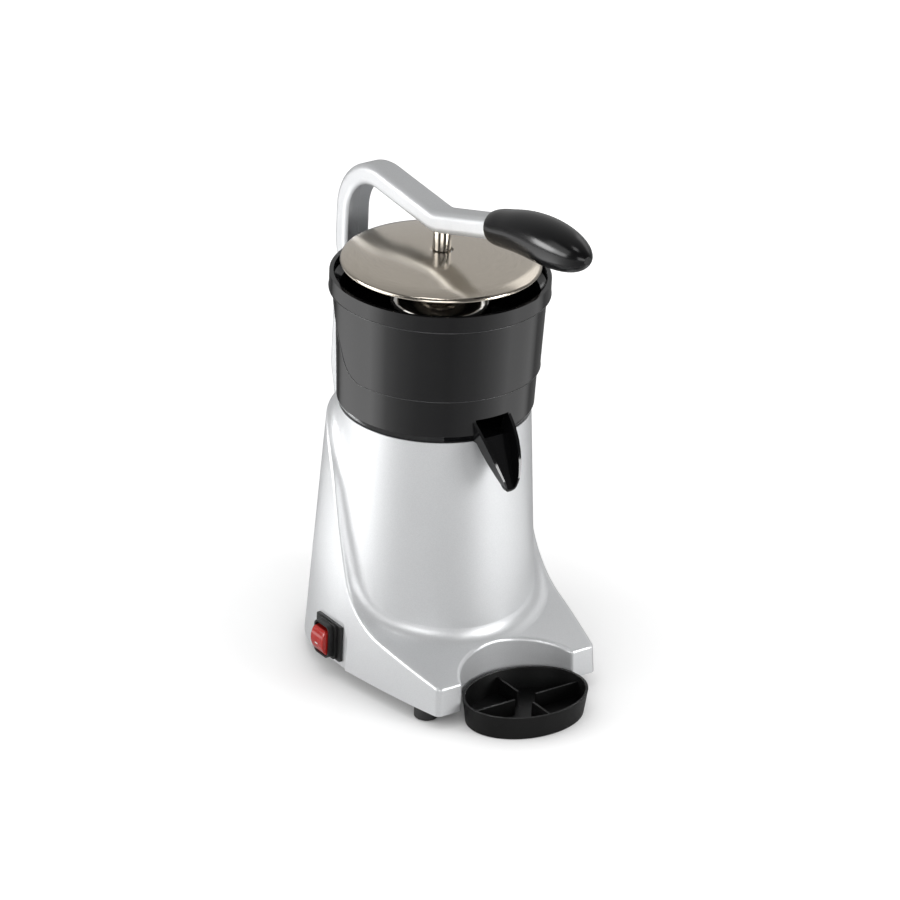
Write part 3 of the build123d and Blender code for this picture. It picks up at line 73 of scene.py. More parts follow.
# %% Soften the edges of the visible nodes
# Bevel widths in millimetres; the frame is in metres.
MM = 0.001
EDGE_WIDTHS = {
    "body_housing": 1.7, "juice_bowl": 0.5, "lever_arm": 0.5, "handle_upper_half": 0.35,
    "handle_lower_half": 0.35, "drip_tray": 0.5, "lid": 0.35, "switch_bezel": 0.5, "press_rod": 0.4,
    "pressing_cup": 0.4, "feet": 0.5, "base_plate": 0.3, "strainer": 0.2, "cord_grommet": 0.6,
    "lid_seat_collar": 0.5, "hinge_pin": 0.6, "lever_stop_bumper": 0.6, "reamer_cone": 0.8,
    "switch_rocker": 0.3,
}
BEVEL_ANGLE = math.radians(32)
BEVEL_STEPS = 2


def soften(node, width_mm):
    """Round a node's sharp edges by a width and shade it smoothly."""
    piece = nodes[node]
    piece.data.polygons.foreach_set("use_smooth", [True] * len(piece.data.polygons))
    bevel = piece.modifiers.new("soft_edges", "BEVEL")
    bevel.width = width_mm * MM
    bevel.segments = BEVEL_STEPS
    bevel.limit_method = "ANGLE"
    bevel.angle_limit = BEVEL_ANGLE
    bevel.use_clamp_overlap = True
    bevel.harden_normals = True
    return piece


for node, width_mm in EDGE_WIDTHS.items():
    soften(node, width_mm)
print("softened", len(EDGE_WIDTHS), "nodes")

# %% [markdown]
# ## Shared surface effects
# Five effects are built once as node groups with named sockets, so that a finish only has to say how much
# of each it wants: a slow cloudiness, a fine grain, the flakes in metallic paint, lines that run round and
# lines that run straight. All of them read the piece's own coordinates, in metres, so they stay put when a
# lever or a tray moves.

# %% Node group helpers
def new_group(name, inputs, outputs):
    """An empty shader node group with float sockets; returns the group, its input and its output node."""
    group = bpy.data.node_groups.new(name, "ShaderNodeTree")
    for socket, default in inputs.items():
        made = group.interface.new_socket(socket, in_out="INPUT", socket_type="NodeSocketFloat")
        made.default_value = default
    for socket in outputs:
        group.interface.new_socket(socket, in_out="OUTPUT", socket_type="NodeSocketFloat")
    return group, group.nodes.new("NodeGroupInput"), group.nodes.new("NodeGroupOutput")


def maths(tree, operation, first, second):
    """A Math node; each operand is a socket or a number."""
    node = tree.nodes.new("ShaderNodeMath")
    node.operation = operation
    for index, operand in enumerate((first, second)):
        if isinstance(operand, (int, float)):
            node.inputs[index].default_value = operand
        else:
            tree.links.new(operand, node.inputs[index])
    return node.outputs[0]


def noise(tree, vector, scale, detail, roughness=0.5):
    """A Noise Texture on a vector; the scale is a socket or a number."""
    node = tree.nodes.new("ShaderNodeTexNoise")
    node.inputs["Detail"].default_value = detail
    node.inputs["Roughness"].default_value = roughness
    tree.links.new(vector, node.inputs["Vector"])
    if isinstance(scale, (int, float)):
        node.inputs["Scale"].default_value = scale
    else:
        tree.links.new(scale, node.inputs["Scale"])
    return node.outputs["Fac"]


def own_place(tree):
    """The piece's own coordinates in metres."""
    return tree.nodes.new("ShaderNodeTexCoord").outputs["Object"]


print("group helpers ready")

# %% Cloud and grain groups
def make_cloud():
    """Slow variation between Low and High, for roughness and tone."""
    group, taken, given = new_group("slow_cloud", {"Scale": 18.0, "Low": 0.0, "High": 1.0}, ["Value"])
    field = noise(group, own_place(group), taken.outputs["Scale"], 3.0)
    spread = maths(group, "SUBTRACT", taken.outputs["High"], taken.outputs["Low"])
    value = maths(group, "ADD", maths(group, "MULTIPLY", field, spread), taken.outputs["Low"])
    group.links.new(value, given.inputs["Value"])
    return group


def make_grain():
    """Fine grain of a mould or a sprayed coat, as a height."""
    group, taken, given = new_group("fine_grain", {"Scale": 900.0, "Depth": 1.0}, ["Height"])
    field = noise(group, own_place(group), taken.outputs["Scale"], 2.0, 0.6)
    group.links.new(maths(group, "MULTIPLY", field, taken.outputs["Depth"]), given.inputs["Height"])
    return group


def make_flakes():
    """Metal flakes in paint: tiny cells, each with its own brightness."""
    group, taken, given = new_group("paint_flakes", {"Scale": 2600.0, "Low": 0.9, "High": 1.0}, ["Value"])
    cells = group.nodes.new("ShaderNodeTexVoronoi")
    group.links.new(own_place(group), cells.inputs["Vector"])
    group.links.new(taken.outputs["Scale"], cells.inputs["Scale"])
    tone = group.nodes.new("ShaderNodeSeparateColor")
    group.links.new(cells.outputs["Color"], tone.inputs["Color"])
    spread = maths(group, "SUBTRACT", taken.outputs["High"], taken.outputs["Low"])
    value = maths(group, "ADD", maths(group, "MULTIPLY", tone.outputs["Red"], spread), taken.outputs["Low"])
    group.links.new(value, given.inputs["Value"])
    return group


cloud, grain, flakes = make_cloud(), make_grain(), make_flakes()
print("groups:", cloud.name, grain.name, flakes.name)

# %% Brushed line groups
# Noise whose coordinates are squeezed along one direction turns into lines along it.
ROUND_SQUEEZE = 0.004
STRAIGHT_SQUEEZE = 0.02


def make_turned():
    """Lines round the column's axis, as a lathe or a polishing wheel leaves them."""
    group, taken, given = new_group("turned_lines", {"Lines": 900.0, "Depth": 1.0}, ["Height", "Tone"])
    centred = group.nodes.new("ShaderNodeVectorMath")
    centred.operation = "SUBTRACT"
    centred.inputs[1].default_value = (axis_x, axis_y, 0.0)
    group.links.new(own_place(group), centred.inputs[0])
    parts = group.nodes.new("ShaderNodeSeparateXYZ")
    group.links.new(centred.outputs["Vector"], parts.inputs["Vector"])
    square = maths(group, "ADD", maths(group, "MULTIPLY", parts.outputs["X"], parts.outputs["X"]),
                   maths(group, "MULTIPLY", parts.outputs["Y"], parts.outputs["Y"]))
    radius = maths(group, "SQRT", square, 0.0)
    turn = maths(group, "ARCTAN2", parts.outputs["Y"], parts.outputs["X"])
    along = maths(group, "MULTIPLY", turn, ROUND_SQUEEZE)
    lines = group.nodes.new("ShaderNodeCombineXYZ")
    group.links.new(radius, lines.inputs["X"])
    group.links.new(along, lines.inputs["Y"])
    group.links.new(parts.outputs["Z"], lines.inputs["Z"])
    field = noise(group, lines.outputs["Vector"], taken.outputs["Lines"], 4.0, 0.65)
    group.links.new(maths(group, "MULTIPLY", field, taken.outputs["Depth"]), given.inputs["Height"])
    group.links.new(field, given.inputs["Tone"])
    return group


def make_straight():
    """Straight brushed lines along X."""
    group, taken, given = new_group("brushed_lines", {"Lines": 900.0, "Depth": 1.0}, ["Height", "Tone"])
    squeeze = group.nodes.new("ShaderNodeMapping")
    squeeze.inputs["Scale"].default_value = (STRAIGHT_SQUEEZE, 1.0, 1.0)
    group.links.new(own_place(group), squeeze.inputs["Vector"])
    field = noise(group, squeeze.outputs["Vector"], taken.outputs["Lines"], 4.0, 0.65)
    group.links.new(maths(group, "MULTIPLY", field, taken.outputs["Depth"]), given.inputs["Height"])
    group.links.new(field, given.inputs["Tone"])
    return group


turned, straight = make_turned(), make_straight()
print("groups:", turned.name, straight.name)

# %% [markdown]
# ## Building a finish
# A finish is one Principled shader. What is the same all over is typed into the shader's own sockets; what
# changes over the surface comes from the groups. The helper below places a group, sets its values and hands
# back its outputs.

# %% Finish helpers
def new_finish(name, colour, **constants):
    """A material with one Principled shader; returns the material, its tree and the shader."""
    finish = bpy.data.materials.new(name)
    finish.use_nodes = True
    shader = finish.node_tree.nodes["Principled BSDF"]
    shader.inputs["Base Color"].default_value = (*colour, 1.0)
    for socket, value in constants.items():
        shader.inputs[socket.replace("_", " ")].default_value = value
    finish.diffuse_color = (*colour, 1.0)
    return finish, finish.node_tree, shader


def place(tree, group, **values):
    """Put a group into a tree with its own values."""
    node = tree.nodes.new("ShaderNodeGroup")
    node.node_tree = group
    for socket, value in values.items():
        node.inputs[socket].default_value = value
    return node.outputs


def tint(tree, shader, dark, light, factor):
    """Base colour that runs from dark to light with a factor."""
    mix = tree.nodes.new("ShaderNodeMix")
    mix.data_type = "RGBA"
    mix.inputs["A"].default_value = (*dark, 1.0)
    mix.inputs["B"].default_value = (*light, 1.0)
    tree.links.new(factor, mix.inputs["Factor"])
    tree.links.new(mix.outputs["Result"], shader.inputs["Base Color"])


def bump(tree, shader, height, strength, distance):
    """Feed a height into the shader's normal."""
    node = tree.nodes.new("ShaderNodeBump")
    node.inputs["Strength"].default_value = strength
    node.inputs["Distance"].default_value = distance
    tree.links.new(height, node.inputs["Height"])
    tree.links.new(node.outputs["Normal"], shader.inputs["Normal"])


print("finish helpers ready")

# %% [markdown]
# ## Silver paint
# The casting and the lever are sprayed with a satin metallic paint: a pale grey full of flakes under a soft
# clear coat. A pure metal would show hard reflections and plain grey would look like primer, so the shader
# is half metallic, rough, with a thin coat over it. The flakes vary the tone cell by cell and a very fine
# grain breaks up the highlights.

# %% Silver paint
def make_silver():
    """Satin metallic paint on the casting and the lever."""
    finish, tree, shader = new_finish("satin_silver", (0.70, 0.71, 0.72), Metallic=0.55, Coat_Weight=0.12,
                                      Coat_Roughness=0.25)
    sparkle = place(tree, flakes, Low=0.3, High=0.8)["Value"]
    tint(tree, shader, (0.63, 0.64, 0.65), (0.75, 0.76, 0.77), sparkle)
    tree.links.new(place(tree, cloud, Scale=30.0, Low=0.36, High=0.44)["Value"], shader.inputs["Roughness"])
    bump(tree, shader, place(tree, grain, Scale=1400.0)["Height"], strength=0.06, distance=0.0003)
    return finish


silver = make_silver()
print("made", silver.name)

# %% [markdown]
# ## Black plastics
# The bowl and the handle are glossy mouldings, the tray and the switch frame satin ones. Black plastic
# shows almost no colour of its own: all one sees is its gloss. So the finishes differ mostly in roughness
# and in how much they mirror, with a little cloudiness in the gloss, as moulded plastic has, and a fine
# mould grain on the satin ones. The handle is a little duller than the bowl, and the tray mirrors least.
# The tray's copy of the satin black is also darker, as painted shade that keeps its hollow inside dark.

# %% Glossy and satin black
def make_gloss_black(name, smooth, dull, bend):
    """Glossy black plastic between two roughnesses, with its index of refraction."""
    finish, tree, shader = new_finish(name, (0.004, 0.004, 0.0045), IOR=bend)
    haze = place(tree, cloud, Scale=40.0)["Value"]
    tint(tree, shader, (0.003, 0.003, 0.0035), (0.006, 0.006, 0.0065), haze)
    tree.links.new(place(tree, cloud, Scale=55.0, Low=smooth, High=dull)["Value"], shader.inputs["Roughness"])
    bump(tree, shader, place(tree, grain, Scale=260.0)["Height"], strength=0.03, distance=0.0004)
    return finish


def make_satin_black(name, shine, dark, light):
    """Satin black plastic between two greys; shine says how much it mirrors."""
    finish, tree, shader = new_finish(name, (light, light, light), Specular_IOR_Level=shine)
    tint(tree, shader, (dark, dark, dark), (light, light, light), place(tree, cloud, Scale=60.0)["Value"])
    tree.links.new(place(tree, cloud, Scale=90.0, Low=0.34, High=0.46)["Value"], shader.inputs["Roughness"])
    bump(tree, shader, place(tree, grain, Scale=1700.0)["Height"], strength=0.16, distance=0.0003)
    return finish


gloss_black = make_gloss_black("gloss_black", smooth=0.06, dull=0.12, bend=1.5)
handle_black = make_gloss_black("handle_black", smooth=0.17, dull=0.24, bend=1.42)
satin_black = make_satin_black("satin_black", shine=0.5, dark=0.006, light=0.013)
# The tray's darker copy of the satin black is painted shade for its hollow inside.
tray_black_painted_shade = make_satin_black("tray_black_painted_shade", shine=0.25, dark=0.003, light=0.007)
print("made", gloss_black.name, handle_black.name, satin_black.name, tray_black_painted_shade.name)

# %% [markdown]
# ## Stainless steel
# The lid is pressed sheet with the fine circular lines of a polishing wheel. The rod and the cup are
# polished bar and sheet, and the strainer and the base plate plain brushed sheet. The lines come from the
# turned and the brushed group. On the lid an anisotropic shader also stretches the highlights across the
# lines.

# %% Brushed and polished steel
def make_brushed_lid():
    """Stainless sheet with lines round the column's axis."""
    finish, tree, shader = new_finish("brushed_lid", (0.62, 0.565, 0.49), Metallic=1.0, Anisotropic=0.4)
    lines = place(tree, turned, Lines=1500.0)
    tint(tree, shader, (0.52, 0.472, 0.405), (0.70, 0.638, 0.55), lines["Tone"])
    tree.links.new(place(tree, cloud, Scale=24.0, Low=0.13, High=0.21)["Value"], shader.inputs["Roughness"])
    bump(tree, shader, lines["Height"], strength=0.08, distance=0.0002)
    tangent = tree.nodes.new("ShaderNodeTangent")
    tangent.direction_type = "RADIAL"
    tangent.axis = "Z"
    tree.links.new(tangent.outputs["Tangent"], shader.inputs["Tangent"])
    return finish


def make_polished():
    """Polished steel with faint turning marks."""
    finish, tree, shader = new_finish("polished_bar", (0.72, 0.70, 0.67), Metallic=1.0)
    lines = place(tree, turned, Lines=700.0)
    tint(tree, shader, (0.64, 0.62, 0.59), (0.78, 0.76, 0.73), lines["Tone"])
    tree.links.new(place(tree, cloud, Scale=40.0, Low=0.07, High=0.13)["Value"], shader.inputs["Roughness"])
    bump(tree, shader, lines["Height"], strength=0.03, distance=0.0002)
    return finish


def make_sheet_steel():
    """Plain steel sheet with straight brushed lines."""
    finish, tree, shader = new_finish("sheet_steel", (0.56, 0.56, 0.55), Metallic=1.0)
    lines = place(tree, straight, Lines=1100.0)
    tint(tree, shader, (0.46, 0.46, 0.45), (0.64, 0.64, 0.63), lines["Tone"])
    tree.links.new(place(tree, cloud, Scale=20.0, Low=0.26, High=0.38)["Value"], shader.inputs["Roughness"])
    bump(tree, shader, lines["Height"], strength=0.10, distance=0.0002)
    return finish


brushed_lid, polished, sheet_steel = make_brushed_lid(), make_polished(), make_sheet_steel()
print("made", brushed_lid.name, polished.name, sheet_steel.name)

# %% [markdown]
# ## Small finishes
# The red rocker is a clear red moulding, the feet and seals are rubber, the hinge has bronze bushes, the
# reamer and the fan are ivory plastic, and the motor inside has its copper, iron and cast alloy. Nobody sees
# the motor with the base plate on, but a part in a library gets opened sooner or later. One recipe with two
# colours, two roughnesses and a grain is enough for most of them. Two more finishes are for pieces that are
# added further down: the beads on the bowl and the mark on the rocker.

# %% Rocker, rubber and motor finishes
def make_simple(name, dark, light, rough, grain_scale, grain_strength, **constants):
    """A finish with a clouded colour, a clouded roughness and a grain."""
    finish, tree, shader = new_finish(name, light, **constants)
    tint(tree, shader, dark, light, place(tree, cloud, Scale=70.0)["Value"])
    wear = place(tree, cloud, Scale=110.0, Low=rough[0], High=rough[1])["Value"]
    tree.links.new(wear, shader.inputs["Roughness"])
    relief = place(tree, grain, Scale=grain_scale)["Height"]
    bump(tree, shader, relief, strength=grain_strength, distance=0.0003)
    return finish


def make_wound():
    """Copper windings: strands side by side."""
    finish, tree, shader = new_finish("copper_wire", (0.55, 0.24, 0.11), Metallic=0.9)
    lines = place(tree, turned, Lines=420.0)
    tint(tree, shader, (0.32, 0.12, 0.05), (0.66, 0.30, 0.14), lines["Tone"])
    tree.links.new(place(tree, cloud, Low=0.25, High=0.4)["Value"], shader.inputs["Roughness"])
    bump(tree, shader, lines["Height"], strength=0.5, distance=0.0006)
    return finish


# The bead's grey, lighter than the bowl's black, is a painted highlight on the bowl's steps.
bead_painted_highlight = make_simple("bead_painted_highlight", (0.03, 0.03, 0.031), (0.05, 0.05, 0.052), (0.25, 0.35),
                           grain_scale=900.0, grain_strength=0.05)
mark_white = make_simple("mark_white", (0.70, 0.70, 0.68), (0.80, 0.80, 0.78), (0.35, 0.5),
                         grain_scale=1200.0, grain_strength=0.08)
red = make_simple("red_lens", (0.36, 0.008, 0.006), (0.50, 0.022, 0.014), (0.10, 0.18),
                  grain_scale=400.0, grain_strength=0.03, Coat_Weight=0.4)
rubber = make_simple("black_rubber", (0.012, 0.012, 0.012), (0.03, 0.03, 0.03), (0.55, 0.75),
                     grain_scale=1300.0, grain_strength=0.25)
iron = make_simple("iron_sheets", (0.10, 0.10, 0.105), (0.20, 0.20, 0.21), (0.4, 0.6),
                   grain_scale=1500.0, grain_strength=0.3, Metallic=0.8)
alloy = make_simple("alloy_casting", (0.42, 0.42, 0.43), (0.58, 0.58, 0.59), (0.4, 0.6),
                    grain_scale=700.0, grain_strength=0.3, Metallic=0.9)
bronze = make_simple("sintered_bronze", (0.36, 0.22, 0.09), (0.52, 0.34, 0.15), (0.3, 0.45),
                     grain_scale=1500.0, grain_strength=0.2, Metallic=1.0)
ivory = make_simple("ivory_plastic", (0.66, 0.63, 0.55), (0.76, 0.73, 0.65), (0.3, 0.42),
                    grain_scale=1100.0, grain_strength=0.10)
copper = make_wound()
small_finishes = (bead_painted_highlight, mark_white, red, rubber, iron, alloy, bronze, ivory, copper)
print("made", [finish.name for finish in small_finishes])

# %% [markdown]
# ## Giving each node its finish
# The record names a material slot for every node. Most slots have one finish here. The lid, the tray and
# the two halves of the handle differ from the other pieces in their slots, so they are dressed once more by
# name.

# %% Assign the finishes
FINISHES = {
    "silver_paint": silver, "black_gloss": gloss_black, "black_satin": satin_black, "red_gloss": red,
    "stainless": sheet_steel, "polished_steel": polished, "steel_hardware": sheet_steel, "rubber": rubber,
    "lamination": iron, "copper": copper, "cast_alloy": alloy, "bronze": bronze, "reamer_plastic": ivory,
}


def dress(node, finish):
    """Replace a node's materials by one finish."""
    slots = nodes[node].data.materials
    slots.clear()
    slots.append(finish)


for entry in frame["record"]["subparts"]:
    dress(entry["node"], FINISHES[entry["material_slot"]])
dress("lid", brushed_lid)
dress("drip_tray", tray_black_painted_shade)
for half in ("handle_upper_half", "handle_lower_half"):
    dress(half, handle_black)

# %% [markdown]
# ## The bowl's moulded edges
# The bowl steps out twice: once at the band under the rim and once where the raised apron ends. Along both
# steps a thin line of light shows on the black. The bowl's bevel is too soft to show it, and a line painted
# in a material would have no thickness. So a thin round bead is laid along both steps: its round section
# catches the lamps, and its grey, lighter than the bowl's black, is a painted highlight. It follows the
# edges of the CAD bowl that turn sharply, found by their height and their distance from the axis.

# %% Beads on the bowl
BAND_TALL = 14.4 * MM
APRON_TALL = 59.0 * MM
WALL_LEAN = 2.6 * MM
BEAD_RADIUS = 0.4 * MM
BAND_SLACK = 2 * MM
EDGE_SLACK = 1 * MM
WALL_INSET = 4 * MM
WELD_DISTANCE = 0.01 * MM
bowl_low, bowl_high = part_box("juice_bowl")
rim_radius = (bowl_high.x - bowl_low.x) / 2
band_z = bowl_high.z - BAND_TALL


def on_step(middle):
    """True on the band's lower edge and on the outline of the apron."""
    reach = math.hypot(middle.x - axis_x, middle.y - axis_y)
    if middle.z > band_z:
        return middle.z < band_z + BAND_SLACK and reach > rim_radius - EDGE_SLACK
    lean = (band_z - middle.z) / APRON_TALL * WALL_LEAN
    return middle.z > band_z - APRON_TALL - EDGE_SLACK and reach > rim_radius - WALL_INSET - lean


def sharp_edges(node, wanted):
    """End points of a node's sharp edges whose middles are wanted."""
    copy = bmesh.new()
    copy.from_mesh(nodes[node].data)
    bmesh.ops.remove_doubles(copy, verts=copy.verts, dist=WELD_DISTANCE)
    found = [[end.co.copy() for end in edge.verts] for edge in copy.edges
             if len(edge.link_faces) == 2 and edge.calc_face_angle() > BEVEL_ANGLE
             and wanted((edge.verts[0].co + edge.verts[1].co) / 2)]
    copy.free()
    return found


def add_piece(name, built, finish, body):
    """Turn a bmesh into a piece that rides on a body."""
    mesh = bpy.data.meshes.new(name)
    built.to_mesh(mesh)
    built.free()
    mesh.polygons.foreach_set("use_smooth", [True] * len(mesh.polygons))
    mesh.materials.append(finish)
    piece = bpy.data.objects.new(name, mesh)
    bpy.context.collection.objects.link(piece)
    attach(piece, body)
    return piece


def bead_along(edges, radius, sides=6):
    """A thin round bead along a list of edges."""
    built = bmesh.new()
    turns = [2 * math.pi * side / sides for side in range(sides)]
    for start, stop in edges:
        along = (stop - start).normalized()
        across = along.orthogonal().normalized()
        upright = along.cross(across)
        spokes = [radius * (math.cos(turn) * across + math.sin(turn) * upright) for turn in turns]
        rings = [[built.verts.new(end + spoke) for spoke in spokes] for end in (start, stop)]
        for side in range(sides):
            after = (side + 1) % sides
            built.faces.new((rings[0][side], rings[0][after], rings[1][after], rings[1][side]))
    return built


step_edges = sharp_edges("juice_bowl", on_step)
bead = bead_along(step_edges, BEAD_RADIUS)
beads = add_piece("bowl_edge_beads", bead, bead_painted_highlight, "base")
print(beads.name, "follows", len(step_edges), "edges")

# %% [markdown]
# ## The mark on the rocker
# The rocker carries one plain dash, printed thickly enough to feel. It is a thin strip laid on the curved
# cap: the points of its outline are dropped onto the cap along X, so the strip follows the curve, and then
# raised by the thickness of the print.

# %% Dash on the rocker
PRINT_THICKNESS = 0.12 * MM
RAY_START = 5 * MM
DASH_LENGTH = 3.4 * MM
DASH_WIDTH = 1.1 * MM
# How far the dash lies below the cap's middle, as a share of the cap's height.
DASH_DROP = 0.06
DASH_STEPS = 6
cap_low, cap_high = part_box("switch_rocker")
cap_middle = (cap_low + cap_high) / 2
cap_tall = cap_high.z - cap_low.z


def cap_surface():
    """The rocker's mesh, ready to be hit by rays."""
    copy = bmesh.new()
    copy.from_mesh(nodes["switch_rocker"].data)
    tree = BVHTree.FromBMesh(copy)
    copy.free()
    return tree


def strip_on_cap(tree, pairs):
    """A thin closed strip between pairs of (y, z) points, laid on the cap from the left."""
    built = bmesh.new()
    rows = []
    for pair in pairs:
        starts = [Vector((cap_low.x - RAY_START, y, z)) for y, z in pair]
        hits = [tree.ray_cast(start, Vector((1, 0, 0))) for start in starts]
        rows.append([built.verts.new(spot + normal * lift) for lift in (PRINT_THICKNESS, -PRINT_THICKNESS)
                     for spot, normal, _, _ in hits])
    for here, there in zip(rows, rows[1:]):
        for first, second in ((0, 1), (1, 3), (3, 2), (2, 0)):
            built.faces.new((here[first], here[second], there[second], there[first]))
    built.faces.new([rows[0][corner] for corner in (0, 2, 3, 1)])
    built.faces.new([rows[-1][corner] for corner in (0, 1, 3, 2)])
    bmesh.ops.recalc_face_normals(built, faces=built.faces)
    return built


def dash_pairs(middle_z, length, width):
    """Points above and below a level dash, from one end to the other."""
    first = cap_middle.y - length / 2
    spots = [first + length * step / DASH_STEPS for step in range(DASH_STEPS + 1)]
    return [[(y, middle_z - width / 2), (y, middle_z + width / 2)] for y in spots]


dash_spots = dash_pairs(cap_middle.z - DASH_DROP * cap_tall, DASH_LENGTH, DASH_WIDTH)
dash = strip_on_cap(cap_surface(), dash_spots)
mark = add_piece("rocker_dash", dash, mark_white, "rocker")
print("mark:", mark.name)

# %% [markdown]
# ## Floor
# A product on white stands on a sheet of paper. A pure white sheet would throw so much light back that the
# low faces lose their shade. So the sheet is pale grey for the light and glows for the camera alone, a
# little less near the juicer than far away, which is painted shade. An ambient occlusion node darkens that
# glow close to the juicer, which paints a soft shadow where the base and the tray stand.

# %% Floor
def sheet(name, corners, finish):
    """A flat sheet of the studio, which is no part of the juicer."""
    mesh = bpy.data.meshes.new(name)
    mesh.from_pydata(corners, [], [tuple(range(len(corners)))])
    mesh.materials.append(finish)
    made = bpy.data.objects.new(name, mesh)
    bpy.context.collection.objects.link(made)
    return made


FLOOR_REACH = 9.0
FLOOR_DROP = -0.0006
# Distances from the origin in metres, and how strongly the paper glows there.
# The weaker glow near the juicer is painted shade.
FLOOR_WHITE = {"From Min": 0.25, "From Max": 1.0, "To Min": 0.68, "To Max": 1.0}
# How far the painted contact shadow reaches, in metres.
SHADOW_REACH = 0.14


def make_floor():
    """A grey sheet of paper that glows for the camera, less near the juicer than far away as painted shade,
    and with a painted shadow where the juicer stands.
    """
    paper, tree, shader = new_finish("studio_paper", (0.64, 0.64, 0.64), Roughness=0.9)
    tint(tree, shader, (0.63, 0.63, 0.63), (0.65, 0.65, 0.65), place(tree, cloud, Scale=3.0)["Value"])
    shader.inputs["Emission Color"].default_value = (1.0, 1.0, 1.0, 1.0)
    seen = tree.nodes.new("ShaderNodeLightPath").outputs["Is Camera Ray"]
    far = tree.nodes.new("ShaderNodeVectorMath")
    far.operation = "LENGTH"
    tree.links.new(own_place(tree), far.inputs[0])
    painted_shade_by_distance = tree.nodes.new("ShaderNodeMapRange")
    for socket, value in FLOOR_WHITE.items():
        painted_shade_by_distance.inputs[socket].default_value = value
    tree.links.new(far.outputs["Value"], painted_shade_by_distance.inputs["Value"])
    # Ambient occlusion dims the glow close to the juicer: a painted contact shadow.
    closed = tree.nodes.new("ShaderNodeAmbientOcclusion")
    closed.samples = 8
    closed.inputs["Distance"].default_value = SHADOW_REACH
    white = maths(tree, "MULTIPLY", painted_shade_by_distance.outputs["Result"], closed.outputs["AO"])
    tree.links.new(maths(tree, "MULTIPLY", seen, white), shader.inputs["Emission Strength"])
    signs = ((-1, -1), (1, -1), (1, 1), (-1, 1))
    corners = [(x * FLOOR_REACH, y * FLOOR_REACH, FLOOR_DROP) for x, y in signs]
    return sheet("studio_floor", corners, paper)


floor = make_floor()
print("floor", floor.name)

# %% [markdown]
# ## Surround
# The room round the juicer is a white world. A world that lights as brightly as it looks would flatten every
# shade. So the world is white where it is seen directly or mirrored, and dimmer where it only lights.

# %% White surround
def make_surround(seen_strength, light_strength):
    """A white world for what is seen directly or mirrored, and a dimmer one as a light."""
    world = bpy.data.worlds.new("studio")
    world.use_nodes = True
    tree = world.node_tree
    backdrop = tree.nodes["Background"]
    backdrop.inputs["Color"].default_value = (1.0, 1.0, 1.0, 1.0)
    rays = tree.nodes.new("ShaderNodeLightPath").outputs
    direct = maths(tree, "MAXIMUM", rays["Is Camera Ray"], rays["Is Glossy Ray"])
    seen = maths(tree, "MAXIMUM", direct, rays["Is Transmission Ray"])
    extra = maths(tree, "MULTIPLY", seen, seen_strength - light_strength)
    strength = maths(tree, "ADD", extra, light_strength)
    tree.links.new(strength, backdrop.inputs["Strength"])
    bpy.context.scene.world = world
    return world


surround = make_surround(seen_strength=1.0, light_strength=0.28)
print("world", surround.name)

# %% [markdown]
# ## Lamps
# A studio lights a product with soft boxes. A sun or a point lamp would give hard shadows and small
# highlights, so each soft box is a rectangular area lamp that faces the juicer. A long one on the left makes
# the left cheeks nearly white, one at the front right and one at the front left lift the other faces, and
# the one above is weak, so that faces that look up stay dark.

# %% Lamps
AIM_HEIGHT = 0.186
TARGET = Vector((axis_x, axis_y, AIM_HEIGHT))
# Place and size in metres, power in watts.
LAMPS = {
    "lamp_left": ((-1.72, 0.69, 0.5), (1.5, 0.6), 19.0),
    "lamp_right": ((0.95, -1.65, 0.5), (0.6, 0.9), 20.0),
    "lamp_front": ((-1.1, -1.5, 0.6), (1.2, 0.8), 9.5),
    "lamp_top": ((-0.6, -0.28, 2.1), (0.5, 0.5), 2.5),
}


def soft_lamp(name, spot, size, power):
    """A rectangular lamp that faces the juicer."""
    data = bpy.data.lights.new(name, "AREA")
    data.shape = "RECTANGLE"
    data.size, data.size_y = size
    data.energy = power
    lamp = bpy.data.objects.new(name, data)
    lamp.location = spot
    lamp.rotation_euler = (TARGET - Vector(spot)).to_track_quat("-Z", "Y").to_euler()
    bpy.context.collection.objects.link(lamp)
    return lamp


for lamp_name, (spot, size, power) in LAMPS.items():
    soft_lamp(lamp_name, spot, size, power)
print("lamps:", list(LAMPS))

# %% [markdown]
# ## Cards for the glossy black
# Glossy black plastic has no look of its own, it shows its surroundings. Seen from above, the upright wall
# of the bowl mirrors the table around it, so that is where a photographer lays white and black cards. More
# lamps would make highlights too, but they would also light everything else. So the cards are meshes that
# shine and that only mirror-like rays see: the camera, the shadows and the plain light don't.

# %% Card helpers
def only_reflected(card):
    """Hide a card from everything but mirror-like rays."""
    card.visible_camera = False
    card.visible_diffuse = False
    card.visible_shadow = False
    card.visible_transmission = False
    return card


def glow(name, strength):
    """A material that only shines."""
    finish, tree, shader = new_finish(name, (0.0, 0.0, 0.0), Roughness=1.0)
    shader.inputs["Specular IOR Level"].default_value = 0.0
    shader.inputs["Emission Color"].default_value = (1.0, 1.0, 1.0, 1.0)
    shader.inputs["Emission Strength"].default_value = strength
    return finish, tree, shader


print("card helpers ready")

# %% [markdown]
# ### The ring on the floor
# The cards on the table could be many small sheets. One ring is simpler: a gradient that runs round the
# column looks up its brightness in a colour ramp, so every direction gets its own tone.

# %% Ring of cards
# Direction in degrees from +X and brightness of the ring there.
CARD_TONES = [
    (-180, 1.15), (-165, 0.75), (-145, 0.48), (-112, 0.35), (-85, 0.55), (-62, 1.0), (-44, 1.4), (-25, 1.05),
    (-8, 0.85), (6, 0.2), (90, 0.1), (105, 0.7), (130, 1.5), (160, 2.4), (172, 1.8), (180, 1.15),
]
RING_BRIGHTEST = 2.5
RING_STEPS = 72


